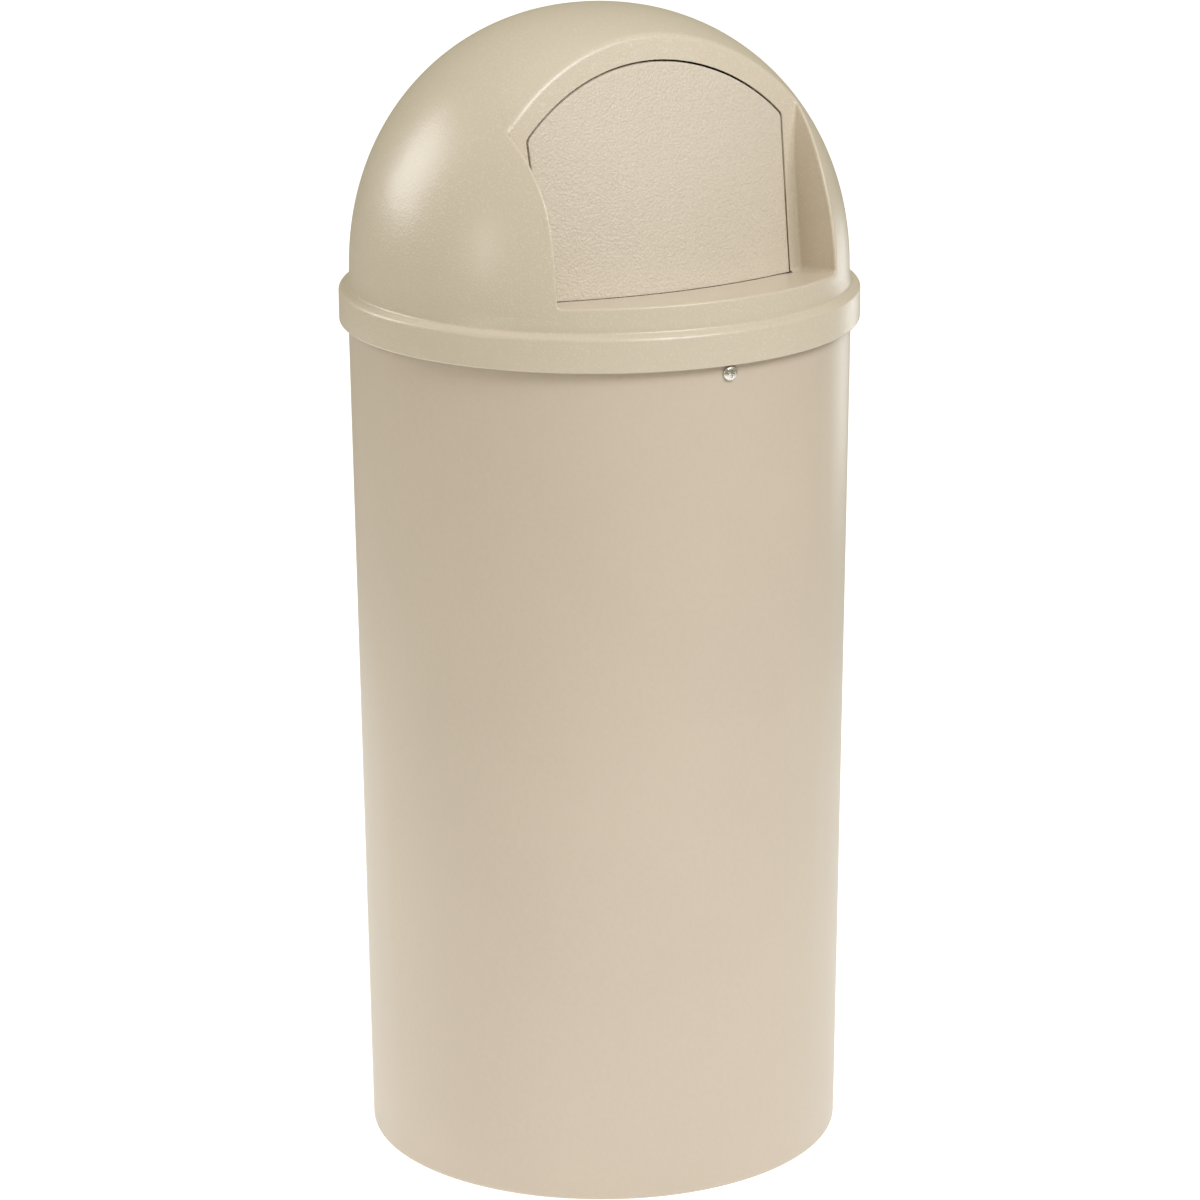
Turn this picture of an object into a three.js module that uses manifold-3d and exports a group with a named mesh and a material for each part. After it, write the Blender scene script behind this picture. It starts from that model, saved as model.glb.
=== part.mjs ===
// Dome top waste receptacle, in millimetres, +Z up.
// The door faces -Y, and the origin is on the ground under the receptacle's axis.
// A tapered round container carries a lift-off dome. The dome's front is cut by a tilted, slightly
// convex door face with a sloping sill below it and a splayed cheek on each side. An arched push
// door swings inwards on a rod behind that face and is closed by two torsion springs.
import * as THREE from 'three';
import { mergeVertices } from 'three/addons/utils/BufferGeometryUtils.js';
import Module from 'manifold-3d';

const wasm = await Module();
wasm.setup();

// ---- Driving dimensions -------------------------------------------------------------------

// Gaps between pieces
const seatGap = 0.3; // between pieces that rest on or in each other
const boreGap = 0.3; // radial, between a shaft and its hole
const overcut = 1; // how far a cutting form runs past what it cuts, or a joined form into its wall

// Heights of the whole
const totalHeight = 1067;
const domeRise = 257; // of the dome's top above the container's rim
const rimHeight = totalHeight - domeRise;

// Container
const neckRadius = 229.6; // outside, where the skirt's lower edge hangs
const containerTaper = 8.9; // gain in radius from the ground to there
const baseRadius = neckRadius - containerTaper;
const containerWall = 4.5;
const rimRound = 2;
const floorRise = 12; // underside of the floor above the ground
const floorThickness = 5;
const standingRingWidth = 9;
const baseRound = 5;
const floorFillet = 14;

// Skirt, which hangs round the container's neck
const domeWall = 5;
const skirtClearance = 3.5; // radial, round the neck
const skirtInside = neckRadius + skirtClearance;
const skirtRadius = skirtInside + domeWall;
const skirtOverlap = 28; // how far it hangs below the rim
const skirtBottom = rimHeight - skirtOverlap;
const skirtDepth = 28.5;
const skirtTop = skirtBottom + skirtDepth; // where its outside starts to round over
const skirtRound = 4.5;
const skirtCrownRise = 1; // of its upper edge, towards the dome
const guideRibCount = 8;
const guideRibWidth = 4;

// Dome
const shoulderStep = 8.3; // from the skirt's outside in to the foot of the dome
const shoulderRadius = skirtRadius - shoulderStep;
const shoulderRise = 4.8; // of that foot above the skirt's outside
const shoulderHeight = skirtTop + shoulderRise;
const springDraft = 1.56; // from the foot in to where the dome starts to curve
const springRadius = shoulderRadius - springDraft;
const springRise = 12.1;
const springHeight = shoulderHeight + springRise;
const domePower = 2.08; // 2 would be a true ellipse

// Sill in front of the door
const sillRise = 4.1; // above the height where the dome starts to curve
const sillHeight = springHeight + sillRise; // under the door's face
const sillSlope = 0.0875; // rise per millimetre towards the outside
const sillGap = 1.5; // under the door
const doorBottom = sillHeight + sillGap;

// Door face: a surface that leans back, bulging at the sill and flat near the top
const faceSetback = 81.34; // from the dome's outside, at the reference height
const faceReach = springRadius - faceSetback; // from the axis forward
const referenceRise = 2; // above the door's lower edge
const faceReference = doorBottom + referenceRise;
const faceLean = 0.28; // backward run per rise
const faceBulge = 0.0012; // sideways curvature at the reference height
const faceFlattening = 0.00000625; // loss of that curvature per millimetre of height

// Doorway and door
const doorGap = 2; // all round, between door and doorway
const doorHalfWidth = 126.1; // middle of that gap, at the reference height
const doorSpread = 0.032; // gain in half-width per millimetre of height
const archRadius = 177;
const archBelowTop = 38.6; // arch's middle below the dome's top
const archTop = totalHeight - archBelowTop;
const archCentre = archTop - archRadius;
const archCornerRound = 10;
const doorWall = 3.6;
const doorRimDepth = 8; // from the outer face
const doorRimWidth = 3;
const doorRibWidth = 2.5;
const doorRibRises = [47, 97]; // of the cross ribs above the door's lower edge
const doorRibColumns = [-62, 0, 62];

// Recess in front of the door face
const frameWidth = 13.6; // from the middle of the door's gap to the cheek, at the reference height
const recessHalfWidth = doorHalfWidth + frameWidth;
const recessSpread = 0.04; // gain in half-width per millimetre of height
const cheekSplay = THREE.MathUtils.degToRad(6);
const formMargin = 20; // how far the forms that cut the recess and door run past them

// Door hinge
const hingeBelowArch = 28.4;
const hingeHeight = archTop - hingeBelowArch;
const hingeBehindFace = 18;
const rodRadius = 3;
const hingeBossLength = 9;
const hingeBossRadius = 7;
const hingeBossStart = archHalfWidth(hingeHeight - hingeBossRadius) - doorGap / 2 + seatGap;
const springRoom = 15.5; // between boss and knuckle, sideways
const knuckleRadius = 6.5;
const knuckleLength = 14;
const knuckleStart = hingeBossStart - springRoom - knuckleLength;
const knuckleWebRise = 2.2; // of the web's top above the rod's axis
const rodCapRadius = 5.5;
const rodCapLength = 3.5;
const sweepClearance = 1; // between the door's swept path and the sill

// Door springs
const springWire = 1.6; // diameter
const springCoilRadius = 5.4; // to the middle of the wire
const springTurns = 4;
const springLegDrop = 34; // how far below the rod the moving leg presses the door

// Door stops
const stopRise = 39; // of the tabs' lower ends above the door's lower edge
const stopBottom = doorBottom + stopRise;
const stopBelowArch = 80.4;
const stopTop = archTop - stopBelowArch;
const stopTabWidth = 7; // how far the tab reaches behind the frame
const stopTabThickness = 3;
const bumperThickness = 2;
const bumperMargin = 1; // narrower than the tab at each side
const bumperInset = 8; // shorter than the tab at each end

// Bag band
const bandBelowRim = 18; // its lower edge
const bandHeight = rimHeight - bandBelowRim;
const bandWidth = 9;
const bandThickness = 1.6; // it lies flush with the neck

// Latches, one at the front and one at the rear
const latchBelowSkirt = 8;
const latchHeight = skirtBottom - latchBelowSkirt;
const screwHeadRadius = 7.25;
const screwHeadHeight = 4.4;
const screwHeadEdge = 0.8; // height of the straight edge under the crown
const screwHeadChamfer = 0.6;
const screwShankRadius = 3;
const crossSlotWidth = 1.7;
const crossSlotLength = 8.4;
const crossSlotDepth = 2.2;
const bushLength = 3.5;
const bushRadius = 8;
const armThickness = 3;
const armWidth = 14;
const armReach = 21; // from the screw's axis to the centre of the rounded end
const nutThickness = 5;
const nutAcrossCorners = 11.5;
const shankBeyondNut = 2;
const keeperThickness = 2;
const keeperGap = 1.3; // between the arm's faces and the keeper's strip and lip
const keeperOffset = 20; // sideways, from the screw's axis
const keeperStripWidth = 14;
const keeperHeadWidth = 32;
const keeperHeadHeight = 13;
const keeperLipBelowArm = 2;
const keeperScrewSpacing = 18;
const keeperScrewHeadRadius = 3.6;
const keeperScrewHeadHeight = 2.2;
const keeperScrewRadius = 1.8;
const keeperScrewGrip = 4.4; // how deep it goes into the pad
const padMargin = 2; // the pad is larger than the keeper's head by this
const padAboveSeat = 6; // the pad's underside above the container's rim

// Smoothness
const roundFacets = 64;
const smallFacets = 18;
const pinFacets = 12;
const wireFacets = 8;
const outerDomeRings = 13;
const innerDomeRings = 8;
const faceFacets = 12;
const faceLevels = 7;
const sweepSteps = 6;
const headRings = 6;
const springSteps = 66;
const solvePasses = 12;
const weldDistance = 1e-4;

// ---- Finishes -----------------------------------------------------------------------------

const beige = new THREE.MeshStandardMaterial({ color: 0xcfc1a7, roughness: 0.5, metalness: 0 });
const beigeDoor = new THREE.MeshStandardMaterial({ color: 0xcbbda4, roughness: 0.6, metalness: 0 });
const steel = new THREE.MeshStandardMaterial({ color: 0xb4b4b0, roughness: 0.35, metalness: 1 });
const rubber = new THREE.MeshStandardMaterial({ color: 0x26241f, roughness: 0.85, metalness: 0 });
const nylon = new THREE.MeshStandardMaterial({ color: 0xe9e6dc, roughness: 0.6, metalness: 0 });

// ---- Solids and booleans ------------------------------------------------------------------

// A closed geometry as a solid: shared vertices merged, empty triangles dropped, faces outwards.
function toSolid(geometry) {
  const bare = geometry.clone();
  bare.deleteAttribute('normal');
  bare.deleteAttribute('uv');
  const merged = mergeVertices(bare, weldDistance);
  const place = merged.attributes.position.array;
  const corners = merged.index.array;
  const kept = [];
  let volume = 0;
  const a = new THREE.Vector3();
  const b = new THREE.Vector3();
  const c = new THREE.Vector3();
  for (let i = 0; i < corners.length; i += 3) {
    const [p, q, r] = [corners[i], corners[i + 1], corners[i + 2]];
    if (p === q || q === r || r === p) continue;
    kept.push(p, q, r);
    a.fromArray(place, 3 * p);
    b.fromArray(place, 3 * q);
    c.fromArray(place, 3 * r);
    volume += a.dot(b.cross(c));
  }
  if (volume < 0) kept.reverse();
  const mesh = new wasm.Mesh({
    numProp: 3,
    vertProperties: new Float32Array(place),
    triVerts: new Uint32Array(kept),
  });
  return new wasm.Manifold(mesh);
}

function toGeometry(solid) {
  const mesh = solid.getMesh();
  const geometry = new THREE.BufferGeometry();
  geometry.setAttribute('position', new THREE.BufferAttribute(mesh.vertProperties, 3));
  geometry.setIndex(new THREE.BufferAttribute(mesh.triVerts, 1));
  return geometry;
}

const join = (...solids) => solids.reduce((whole, next) => whole.add(next));
const cut = (solid, ...tools) => tools.reduce((whole, tool) => whole.subtract(tool), solid);

// A solid of revolution about Z from [radius, height] pairs.
function revolved(profile, facets = roundFacets) {
  const points = profile.map(([radius, height]) => new THREE.Vector2(radius, height));
  return toSolid(new THREE.LatheGeometry(points, facets).rotateX(Math.PI / 2));
}

// A box from its low to its high corner.
function block(low, high) {
  const size = high.map((value, i) => value - low[i]);
  const middle = high.map((value, i) => (value + low[i]) / 2);
  return toSolid(new THREE.BoxGeometry(...size).translate(...middle));
}

// A cylinder along X, or a ring when it has a bore.
function rodAlongX(start, end, radius, y, z, bore = 0, facets = smallFacets) {
  const turned = (r, from, to) => toSolid(
    new THREE.CylinderGeometry(r, r, to - from, facets)
      .rotateZ(Math.PI / 2)
      .translate((from + to) / 2, y, z),
  );
  const outer = turned(radius, start, end);
  return bore > 0 ? cut(outer, turned(bore, start - overcut, end + overcut)) : outer;
}

// A cylinder along Y, between two distances in front of the axis.
function rodAlongY(near, far, radius, x, z, facets = smallFacets) {
  const geometry = new THREE.CylinderGeometry(radius, radius, far - near, facets);
  return toSolid(geometry.translate(x, -(near + far) / 2, z));
}

// An upright outline in X and Z, extruded between two distances in front of the axis.
function uprightPrism(shape, near, far, curveSegments = 12) {
  const geometry = new THREE.ExtrudeGeometry(shape, {
    depth: far - near,
    bevelEnabled: false,
    curveSegments,
  });
  return toSolid(geometry.rotateX(Math.PI / 2).translate(0, -near, 0));
}

// A solid lofted through closed rings of equal length, with flat caps.
// The caps are meshed in the plane of the two coordinates named by across. Every four-sided patch
// is split the same way in space, so that two parallel lofts stay parallel.
function lofted(rings, across) {
  const count = rings[0].length;
  const positions = rings.flat(2);
  const index = [];
  for (let level = 0; level + 1 < rings.length; level++) {
    for (let i = 0; i < count; i++) {
      const next = (i + 1) % count;
      const low = level * count;
      const high = low + count;
      const forwards = rings[level][i][across[0]] <= rings[level][next][across[0]];
      const [a, b, c, d] = [low + i, low + next, high + next, high + i];
      index.push(...(forwards ? [a, b, c, a, c, d] : [a, b, d, b, c, d]));
    }
  }
  const flat = (ring) => ring.map((point) => new THREE.Vector2(point[across[0]], point[across[1]]));
  const windsForward = !THREE.ShapeUtils.isClockWise(flat(rings[0]));
  const last = (rings.length - 1) * count;
  for (const [ring, start, flipped] of [[rings[0], 0, true], [rings.at(-1), last, false]]) {
    for (const [a, b, c] of THREE.ShapeUtils.triangulateShape(flat(ring), [])) {
      const turnOver = flipped === windsForward;
      index.push(start + a, start + (turnOver ? c : b), start + (turnOver ? b : c));
    }
  }
  const geometry = new THREE.BufferGeometry();
  geometry.setAttribute('position', new THREE.Float32BufferAttribute(positions, 3));
  geometry.setIndex(index);
  return toSolid(geometry);
}

// Points of a quarter round from one [radius, height] point to another round their corner.
function quarterRound(from, corner, to, steps = 3) {
  const points = [];
  for (let i = 0; i <= steps; i++) {
    const turn = (i / steps) * Math.PI / 2;
    const fromShare = 1 - Math.sin(turn);
    const toShare = 1 - Math.cos(turn);
    const between = (c, f, t) => c + (f - c) * fromShare + (t - c) * toShare;
    points.push([0, 1].map((k) => between(corner[k], from[k], to[k])));
  }
  return points;
}

// ---- Forms shared by several pieces -------------------------------------------------------

const rimRadius = neckRadius + (neckRadius - baseRadius) * (rimHeight - skirtBottom) / skirtBottom;

// Outside radius of the container at a height.
function containerRadius(z) {
  return baseRadius + (neckRadius - baseRadius) * z / skirtBottom;
}

// Distance of the door face in front of the axis.
function faceAt(x, z) {
  const rise = z - faceReference;
  return faceReach - faceLean * rise - x * x * (faceBulge - faceFlattening * rise);
}

// The sill rises outwards, so the face meets a level of the sill where both agree.
function facePointOnLevel(x, level) {
  let forward = faceAt(x, level);
  for (let pass = 0; pass < solvePasses; pass++) {
    forward = faceAt(x, level + sillSlope * (forward - faceReach));
  }
  return [x, -forward, level + sillSlope * (forward - faceReach)];
}

// The space in front of the door face, or that space grown all round by a wall.
function recessSpace(grown) {
  const back = grown * Math.hypot(1, faceLean);
  const outwardRun = springRadius;
  const levels = [];
  const top = totalHeight + formMargin;
  for (let i = 0; i <= faceLevels; i++) {
    levels.push(THREE.MathUtils.lerp(sillHeight - grown, top, i / faceLevels));
  }
  const rings = levels.map((level) => {
    const halfWidth = recessHalfWidth + grown + recessSpread * (level - faceReference);
    const ring = [];
    for (let i = 0; i <= faceFacets; i++) {
      const across = THREE.MathUtils.lerp(-halfWidth, halfWidth, i / faceFacets);
      const [x, y, z] = facePointOnLevel(across, level);
      ring.push([x, y + back, z]);
    }
    const outerHalf = halfWidth + outwardRun * Math.tan(cheekSplay);
    const [, cornerY, cornerZ] = ring.at(-1);
    const outerZ = cornerZ + sillSlope * outwardRun;
    ring.push([outerHalf, cornerY - outwardRun, outerZ]);
    ring.push([-outerHalf, cornerY - outwardRun, outerZ]);
    return ring;
  });
  return lofted(rings, [0, 1]);
}

// A curved slab parallel to the door face, between two depths behind it.
function faceSlab(front, back) {
  const halfWidth = recessHalfWidth + domeWall;
  const bottom = doorBottom - formMargin;
  const top = archTop + formMargin;
  const rings = [];
  for (let level = 0; level <= faceLevels; level++) {
    const z = THREE.MathUtils.lerp(bottom, top, level / faceLevels);
    const xAt = (i) => THREE.MathUtils.lerp(-halfWidth, halfWidth, i / faceFacets);
    const ring = [];
    for (let i = 0; i <= faceFacets; i++) ring.push([xAt(i), -(faceAt(xAt(i), z) - front), z]);
    for (let i = faceFacets; i >= 0; i--) ring.push([xAt(i), -(faceAt(xAt(i), z) - back), z]);
    rings.push(ring);
  }
  return lofted(rings, [0, 1]);
}

// Half the arch's width at a height, to the middle of the gap.
function archHalfWidth(z) {
  return Math.sqrt(archRadius ** 2 - (z - archCentre) ** 2);
}

// The arched door outline in X and Z, grown outwards from the middle of the gap.
function archOutline(grown, bottom) {
  const sideAt = (z) => doorHalfWidth + grown + doorSpread * (z - faceReference);
  const radius = archRadius + grown;
  let corner = archCentre;
  for (let pass = 0; pass < solvePasses; pass++) {
    corner = archCentre + Math.sqrt(radius ** 2 - sideAt(corner) ** 2);
  }
  const angle = Math.asin(sideAt(corner) / radius);
  const roundAngle = angle - archCornerRound / radius;
  const shape = new THREE.Shape();
  shape.moveTo(-sideAt(bottom), bottom);
  shape.lineTo(sideAt(bottom), bottom);
  shape.lineTo(sideAt(corner - archCornerRound), corner - archCornerRound);
  shape.quadraticCurveTo(
    sideAt(corner),
    corner,
    radius * Math.sin(roundAngle),
    archCentre + radius * Math.cos(roundAngle),
  );
  shape.absarc(0, archCentre, radius, Math.PI / 2 - roundAngle, Math.PI / 2 + roundAngle, false);
  shape.quadraticCurveTo(
    -sideAt(corner),
    corner,
    -sideAt(corner - archCornerRound),
    corner - archCornerRound,
  );
  shape.closePath();
  return shape;
}

const archPrism = (grown, bottom) => uprightPrism(archOutline(grown, bottom), 0, skirtRadius);

const hingeForward = faceAt(0, hingeHeight) - hingeBehindFace;
const hingeY = -hingeForward;

// ---- Container ----------------------------------------------------------------------------

const bandSeatRadius = containerRadius(bandHeight) - bandThickness - seatGap;

function containerProfile() {
  const outerFoot = baseRadius - baseRound;
  const ringInner = outerFoot - standingRingWidth;
  const floorTop = floorRise + floorThickness;
  const insideAt = (z) => containerRadius(z) - containerWall;
  return [
    [0, floorRise],
    [ringInner - floorRise / 2, floorRise],
    [ringInner, 0],
    ...quarterRound([outerFoot, 0], [containerRadius(0), 0], [containerRadius(baseRound), baseRound]),
    [containerRadius(bandHeight - seatGap), bandHeight - seatGap],
    [bandSeatRadius, bandHeight - seatGap],
    [bandSeatRadius, bandHeight + bandWidth + seatGap],
    [containerRadius(bandHeight + bandWidth + seatGap), bandHeight + bandWidth + seatGap],
    ...quarterRound(
      [rimRadius, rimHeight - rimRound],
      [rimRadius, rimHeight],
      [rimRadius - rimRound, rimHeight],
    ),
    [insideAt(rimHeight), rimHeight],
    ...quarterRound(
      [insideAt(floorTop + floorFillet), floorTop + floorFillet],
      [insideAt(floorTop), floorTop],
      [insideAt(floorTop) - floorFillet, floorTop],
    ),
    [0, floorTop],
  ];
}

function containerBody() {
  const hole = rodAlongY(-skirtRadius, skirtRadius, screwShankRadius + boreGap, 0, latchHeight);
  return cut(revolved(containerProfile()), hole);
}

function bagBand() {
  const inner = bandSeatRadius + seatGap;
  return revolved([
    [inner, bandHeight],
    [inner + bandThickness, bandHeight],
    [inner + bandThickness, bandHeight + bandWidth],
    [inner, bandHeight + bandWidth],
    [inner, bandHeight],
  ]);
}

// ---- Dome ---------------------------------------------------------------------------------

const seatHeight = rimHeight + seatGap;
const skirtCrown = (skirtTop + shoulderHeight) / 2;

// The dome's curved wall, moved inwards by a wall thickness, from spring line to crown.
function domeCurve(inward, steps) {
  const points = [];
  for (let i = 0; i <= steps; i++) {
    const turn = (i / steps) * Math.PI / 2;
    const radius = (springRadius - inward) * Math.max(0, Math.cos(turn)) ** (2 / domePower);
    const rise = (totalHeight - springHeight - inward) * Math.sin(turn) ** (2 / domePower);
    points.push([i === steps ? 0 : radius, springHeight + rise]);
  }
  return points;
}

function domeOutside() {
  return revolved([
    [0, skirtBottom],
    ...quarterRound(
      [skirtRadius - skirtRound / 2, skirtBottom],
      [skirtRadius, skirtBottom],
      [skirtRadius, skirtBottom + skirtRound],
    ),
    ...quarterRound(
      [skirtRadius, skirtTop - skirtRound],
      [skirtRadius, skirtCrown],
      [shoulderRadius + skirtRound, skirtCrown + skirtCrownRise],
    ),
    [shoulderRadius, shoulderHeight],
    ...domeCurve(0, outerDomeRings),
  ]);
}

function domeInside() {
  return revolved([
    [0, skirtBottom - overcut],
    [skirtInside, skirtBottom - overcut],
    [skirtInside, seatHeight],
    [shoulderRadius - domeWall, seatHeight],
    ...domeCurve(domeWall, innerDomeRings),
  ]);
}

// What the door's lower edge passes through as it swings, with a clearance.
function doorSweep() {
  const rings = [];
  const halfWidth = doorHalfWidth + doorGap;
  for (let i = 0; i <= faceFacets; i++) {
    const x = THREE.MathUtils.lerp(-halfWidth, halfWidth, i / faceFacets);
    const forward = faceAt(x, doorBottom) - hingeForward;
    const drop = hingeHeight - doorBottom;
    const radius = Math.hypot(forward, drop) + sweepClearance;
    const start = Math.atan2(forward, drop);
    const ring = [[x, hingeY - forward, doorBottom + sweepClearance]];
    for (let step = 0; step <= sweepSteps; step++) {
      const angle = THREE.MathUtils.lerp(start, 0, step / sweepSteps);
      ring.push([x, hingeY - radius * Math.sin(angle), hingeHeight - radius * Math.cos(angle)]);
    }
    ring.push([x, hingeY, doorBottom + sweepClearance]);
    rings.push(ring);
  }
  return lofted(rings, [1, 2]);
}

// The boss on each side that carries the rod, joined to the back of the door face.
function hingeBoss(side) {
  const start = Math.min(side * hingeBossStart, side * (hingeBossStart + hingeBossLength));
  const end = start + hingeBossLength;
  const wallMiddle = faceAt(hingeBossStart + hingeBossLength, hingeHeight) - domeWall / 2;
  const round = rodAlongX(start, end, hingeBossRadius, hingeY, hingeHeight);
  const foot = block(
    [start, -wallMiddle, hingeHeight - hingeBossRadius],
    [end, hingeY, hingeHeight + hingeBossRadius],
  );
  const hole = (radius, y, facets) => rodAlongX(
    start - overcut,
    end + overcut,
    radius,
    y,
    hingeHeight,
    0,
    facets,
  );
  const rodHole = hole(rodRadius + boreGap, hingeY, smallFacets);
  const springHole = hole(springWire / 2 + boreGap, hingeY + springCoilRadius, wireFacets);
  return cut(join(round, foot), rodHole, springHole);
}

// The room that a rod cap keeps beside its boss, also where the dome's wall comes close to it.
function capRoom(side) {
  const near = hingeBossStart + hingeBossLength + seatGap;
  const far = near + rodCapLength + seatGap;
  const start = Math.min(side * near, side * far);
  const radius = rodCapRadius + boreGap;
  return rodAlongX(start, start + far - near, radius, hingeY, hingeHeight);
}

// Small upright ribs inside the skirt that centre the dome on the container's neck.
function guideRibs() {
  const inner = rimRadius + seatGap;
  const ribs = [];
  for (let i = 0; i < guideRibCount; i++) {
    const turn = ((i + 0.5) / guideRibCount) * 360;
    const rib = block(
      [inner, -guideRibWidth / 2, skirtBottom + skirtRound],
      [skirtInside + domeWall / 2, guideRibWidth / 2, seatHeight + overcut],
    );
    ribs.push(rib.rotate([0, 0, turn]));
  }
  return join(...ribs);
}

// ---- Latch layout: distances in front of the axis, from the outside inwards ---------------

const headSeat = containerRadius(latchHeight) + seatGap;
const facetShare = Math.cos(Math.PI / roundFacets); // of a round wall's radius, at a facet's middle
const wallInside = containerRadius(latchHeight) - containerWall;
const bushOuter = Math.sqrt(wallInside ** 2 - bushRadius ** 2) * facetShare - seatGap;
const armOuter = bushOuter - bushLength - seatGap;
const nutOuter = armOuter - armThickness - seatGap;
const shankEnd = nutOuter - nutThickness - shankBeyondNut;
const keeperOuter = armOuter - armThickness - keeperGap;
const keeperInner = keeperOuter - keeperThickness;
const padFace = keeperOuter + seatGap;
const padBottom = seatHeight + padAboveSeat;
const keeperHeadBottom = padBottom + padMargin;
const keeperHeadTop = keeperHeadBottom + keeperHeadHeight;
const keeperScrewHeight = keeperHeadBottom + keeperHeadHeight / 2;
const keeperScrewPlaces = [-0.5, 0.5].map((side) => keeperOffset + side * keeperScrewSpacing);

// The moulded pad that a keeper is screwed to, in front of its face.
function keeperPad() {
  const halfWidth = keeperHeadWidth / 2 + padMargin;
  const pad = block(
    [keeperOffset - halfWidth, -(springRadius - domeWall / 2), padBottom],
    [keeperOffset + halfWidth, -padFace, keeperHeadTop + padMargin],
  );
  const pocket = (x) => rodAlongY(
    padFace - overcut,
    padFace + keeperScrewGrip + overcut,
    keeperScrewRadius + boreGap,
    x,
    keeperScrewHeight,
    pinFacets,
  );
  const trimmed = pad.intersect(domeOutside());
  return { pad: trimmed, pockets: join(...keeperScrewPlaces.map(pocket)) };
}

function domeTop() {
  const recess = recessSpace(0);
  const behindRecess = recessSpace(domeWall);
  const hollow = cut(domeInside(), behindRecess);
  const aroundWall = faceSlab(-doorGap / 4, 4 * domeWall);
  const doorway = archPrism(doorGap / 2, sillHeight).intersect(aroundWall);
  const shell = cut(domeOutside(), recess, hollow, doorway, doorSweep());
  const front = keeperPad();
  const rear = [front.pad, front.pockets].map((solid) => solid.rotate([0, 0, 180]));
  const whole = join(shell, hingeBoss(-1), hingeBoss(1), guideRibs(), front.pad, rear[0]);
  return cut(whole, front.pockets, rear[1], capRoom(-1), capRoom(1));
}

// ---- Door ---------------------------------------------------------------------------------

// A knuckle on the rod and the web that joins it to the back of the door.
function doorKnuckle(side) {
  const start = Math.min(side * knuckleStart, side * (knuckleStart + knuckleLength));
  const end = start + knuckleLength;
  const plateMiddle = faceAt(knuckleStart, hingeHeight) - doorWall / 2;
  const web = block(
    [start, -plateMiddle, hingeHeight - knuckleRadius],
    [end, hingeY, hingeHeight + knuckleWebRise],
  );
  const round = rodAlongX(start, end, knuckleRadius, hingeY, hingeHeight);
  const boreRadius = rodRadius + boreGap;
  const bore = rodAlongX(start - overcut, end + overcut, boreRadius, hingeY, hingeHeight);
  return cut(join(round, web), bore);
}

const frameBack = domeWall * Math.hypot(1, faceLean);
const bumperFront = frameBack + 2 * seatGap; // the frame's facets bulge a little
const tabFront = bumperFront + bumperThickness + seatGap;
const tabBack = tabFront + stopTabThickness;

// Edge of the doorway, sideways, at a height.
const doorwayHalfWidth = (z) => doorHalfWidth + doorGap / 2 + doorSpread * (z - faceReference);

// A tab on each side that comes up behind the frame and stops the door flush with it.
function stopTab(side) {
  const clear = doorwayHalfWidth(stopBottom) - doorGap;
  const outer = doorwayHalfWidth(stopTop) + stopTabWidth;
  const reach = (from, to) => block(
    [Math.min(side * from, side * to), -skirtRadius, stopBottom],
    [Math.max(side * from, side * to), 0, stopTop],
  );
  const root = faceSlab(doorWall / 2, tabBack).intersect(reach(clear - 2 * doorRimWidth, clear));
  const tab = faceSlab(tabFront, tabBack).intersect(reach(clear - doorRimWidth, outer));
  return join(root, tab);
}

function doorBumper(side) {
  const inner = side * (doorwayHalfWidth(stopTop) + bumperMargin);
  const outer = side * (doorwayHalfWidth(stopTop) + stopTabWidth - bumperMargin);
  const pad = block(
    [Math.min(inner, outer), -skirtRadius, stopBottom + bumperInset],
    [Math.max(inner, outer), 0, stopTop - bumperInset],
  );
  return faceSlab(bumperFront, bumperFront + bumperThickness).intersect(pad);
}

function doorRibs() {
  const half = doorRibWidth / 2;
  const reach = skirtRadius;
  const ribTop = hingeHeight - 2 * knuckleRadius;
  const row = (rise) => block(
    [-reach, -reach, doorBottom + rise - half],
    [reach, 0, doorBottom + rise + half],
  );
  const column = (x) => block([x - half, -reach, 0], [x + half, 0, ribTop]);
  return join(...doorRibRises.map(row), ...doorRibColumns.map(column));
}

function pushDoor() {
  const outline = archPrism(-doorGap / 2, doorBottom);
  const inner = archPrism(-doorGap / 2 - doorRimWidth, doorBottom + doorRimWidth);
  const plate = faceSlab(0, doorWall).intersect(outline);
  const stiffeners = join(cut(outline, inner), doorRibs().intersect(inner));
  const raised = faceSlab(doorWall / 2, doorRimDepth).intersect(stiffeners);
  return join(plate, raised, doorKnuckle(-1), doorKnuckle(1), stopTab(-1), stopTab(1));
}

// ---- Hinge rod, its caps and the springs --------------------------------------------------

const rodHalfLength = hingeBossStart + hingeBossLength + seatGap + rodCapLength;

const hingeRod = () => rodAlongX(-rodHalfLength, rodHalfLength, rodRadius, hingeY, hingeHeight);

function rodCap(side) {
  const near = hingeBossStart + hingeBossLength + seatGap;
  const start = Math.min(side * near, side * (near + rodCapLength));
  const end = start + rodCapLength;
  return rodAlongX(start, end, rodCapRadius, hingeY, hingeHeight, rodRadius + boreGap);
}

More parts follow.
